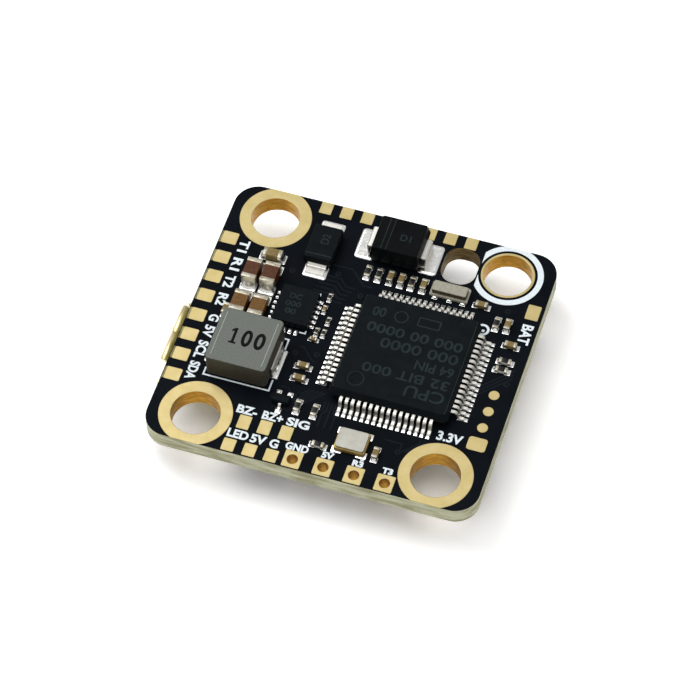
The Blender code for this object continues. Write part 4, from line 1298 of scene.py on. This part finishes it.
UNDER_CAPACITORS = [(2.9, -0.9, 90), (2.9, 0.9, 90), (-2.9, 0, 90), (6.3, -1.6, 0), (-4, 0, 90),
                    (4.2, -4.6, 0), (-5.6, 6.4, 90), (5.9, 8.6, 90), (-6.4, -6.2, 90)]
UNDER_RESISTORS = [(3.8, -0.9, 90), (3.8, 0.9, 90), (-5.6, 8.4, 90), (4.2, -5.5, 0),
                   (4.2, -6.4, 0), (-4.2, -10.9, 90), (-7.2, -6.2, 90), (5.9, 6.2, 90)]


def make_under_board():
    """Small parts, pads, tracks and print of the underside."""
    chips("under_mlcc", UNDER_CAPACITORS, CAPACITOR_0402, KHAKI_CERAMIC, UNDER)
    chips("under_resistor", UNDER_RESISTORS, RESISTOR_0402, ALUMINA, UNDER)
    pad_group("under_north_pads", [(x, 0.6 - BOARD_Y / 2) for x in (-2.7, -0.9, 0.9, 2.7)],
              (1.05, 1.15), side=UNDER)
    discs("under_test_points", [(6.6, -6.4), (8, -6.4), (-6.8, 0.9)], 0.45, UNDER)
    routes = []
    for i in range(5):
        routes += [slanted((1.9, -0.9 + 0.45 * i), (8.2, 3 + 0.3 * i), 0.4),
                   slanted((-3.9 + 0.5 * i, 3.2), (-1 + 0.5 * i, 1.9)),
                   slanted((-1 + 0.5 * i, -1.9), (-3.2 + 0.9 * i, -3.9), 0.4)]
    show("covered_tracks_under", [(track(route), ORIGIN) for route in routes], MASK_ON_COPPER,
         UNDER)
    labels("under_labels", 0.7, 0, [
        ("BOOT", -11.6, -6.5, 2.2), ("ESC", 8.3, 6.3, 1.9, 0.8), ("OSD", -5.9, 4.2, 1.9, 0.8),
        ("5V", -2.7, -10.9, 1.2), ("G", 0.9, -10.9, 0.7)], UNDER)
    printed("forward_arrow",
            [(sheet([[(3.1, -9.4), (3.9, -10.8), (2.3, -10.8)]], PRINT_T), ORIGIN)], UNDER)


# ---------------------------------------------------------------- stage, light and camera

FLOOR_R = 0.6
FLOOR_WHITE = 1.32  # far above white, as on a strongly lit sweep
FLOOR_GAP = 0.00003
SURROUND = 0.54
CAMERA_TURN = 20.219  # degrees east of south
CAMERA_HEIGHT = 56.239  # degrees above the board
CAMERA_ROLL = -2.717
CAMERA_DISTANCE = 0.27115
CAMERA_AIM = (-0.083, -0.693, 0)
LENS_LENGTH = 173.24


def direction(azimuth, elevation):
    """A unit vector; azimuth 0 is at +Y, 90 at +X."""
    a = math.radians(azimuth)
    e = math.radians(elevation)
    return Vector((math.sin(a) * math.cos(e), math.cos(a) * math.cos(e), math.sin(e)))


def make_stage():
    """A white floor, wide enough for every view, just under the parts it stands on."""
    bm = bmesh.new()
    bmesh.ops.create_circle(bm, cap_ends=True, segments=96, radius=FLOOR_R)
    mesh = bpy.data.meshes.new("floor")
    bm.to_mesh(mesh)
    bm.free()
    mesh.materials.append(new_material("floor_white", (FLOOR_WHITE, FLOOR_WHITE, FLOOR_WHITE, 1),
                                       1, Specular_IOR_Level=0))
    floor = bpy.data.objects.new("floor", mesh)
    floor.location = (0, 0, -FLOOR_GAP)
    bpy.context.scene.collection.objects.link(floor)


def make_area_light(name, azimuth, elevation, distance, size, power):
    """A soft light aimed at the board."""
    light = bpy.data.lights.new(name, "AREA")
    light.shape = "DISK"
    light.size = size
    light.energy = power
    holder = bpy.data.objects.new(name, light)
    away = direction(azimuth, elevation)
    holder.location = away * distance
    holder.rotation_euler = away.to_track_quat("Z", "Y").to_euler()
    bpy.context.scene.collection.objects.link(holder)


def make_lights():
    """A large key light from the back left, one overhead, a weak fill and a white surround."""
    make_area_light("key", -66, 54, 0.36, 0.26, 0.5)
    make_area_light("overhead", 0, 88, 0.4, 0.3, 0.38)
    make_area_light("fill", 190, 35, 0.45, 0.3, 0.08)
    world = bpy.data.worlds.new("surround")
    world.use_nodes = True
    background = world.node_tree.nodes["Background"]
    background.inputs["Color"].default_value = (1, 1, 1, 1)
    background.inputs["Strength"].default_value = SURROUND
    bpy.context.scene.world = world
    bpy.context.scene.view_settings.view_transform = "Standard"


def make_camera():
    """The camera: a long lens, from the south-south-east and above, aimed near the middle."""
    back = direction(180 - CAMERA_TURN, CAMERA_HEIGHT)
    lens = bpy.data.cameras.new("camera")
    lens.lens = LENS_LENGTH
    lens.sensor_width = 36
    lens.clip_start = 0.01
    holder = bpy.data.objects.new("camera", lens)
    holder.location = TOP @ Vector(CAMERA_AIM) + back * CAMERA_DISTANCE
    roll = Matrix.Rotation(math.radians(CAMERA_ROLL), 3, "Z")
    holder.rotation_euler = ((-back).to_track_quat("-Z", "Y").to_matrix() @ roll).to_euler()
    bpy.context.scene.collection.objects.link(holder)
    bpy.context.scene.camera = holder


def paint_node(node, paint):
    """A finer material for a CAD node that stays as it is."""
    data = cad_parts[node].data
    data.materials.clear()
    data.materials.append(paint)


for make in (make_camera, make_lights, make_stage, make_laminate, make_tracks, make_mount_rings,
             make_through_pads, make_flat_pads, make_print, make_chips, make_processor,
             make_inductor, make_power_diode, make_flat_diode, make_converter, make_resonator,
             make_crystal, make_transistor, make_usb_socket, make_esc_socket, make_boot_button,
             make_sensor, make_memory, make_display_chip, make_regulator, make_status_led,
             make_under_board):
    make()
paint_node("usb_insulator", NYLON_BLACK)
paint_node("usb_contacts", GOLD)
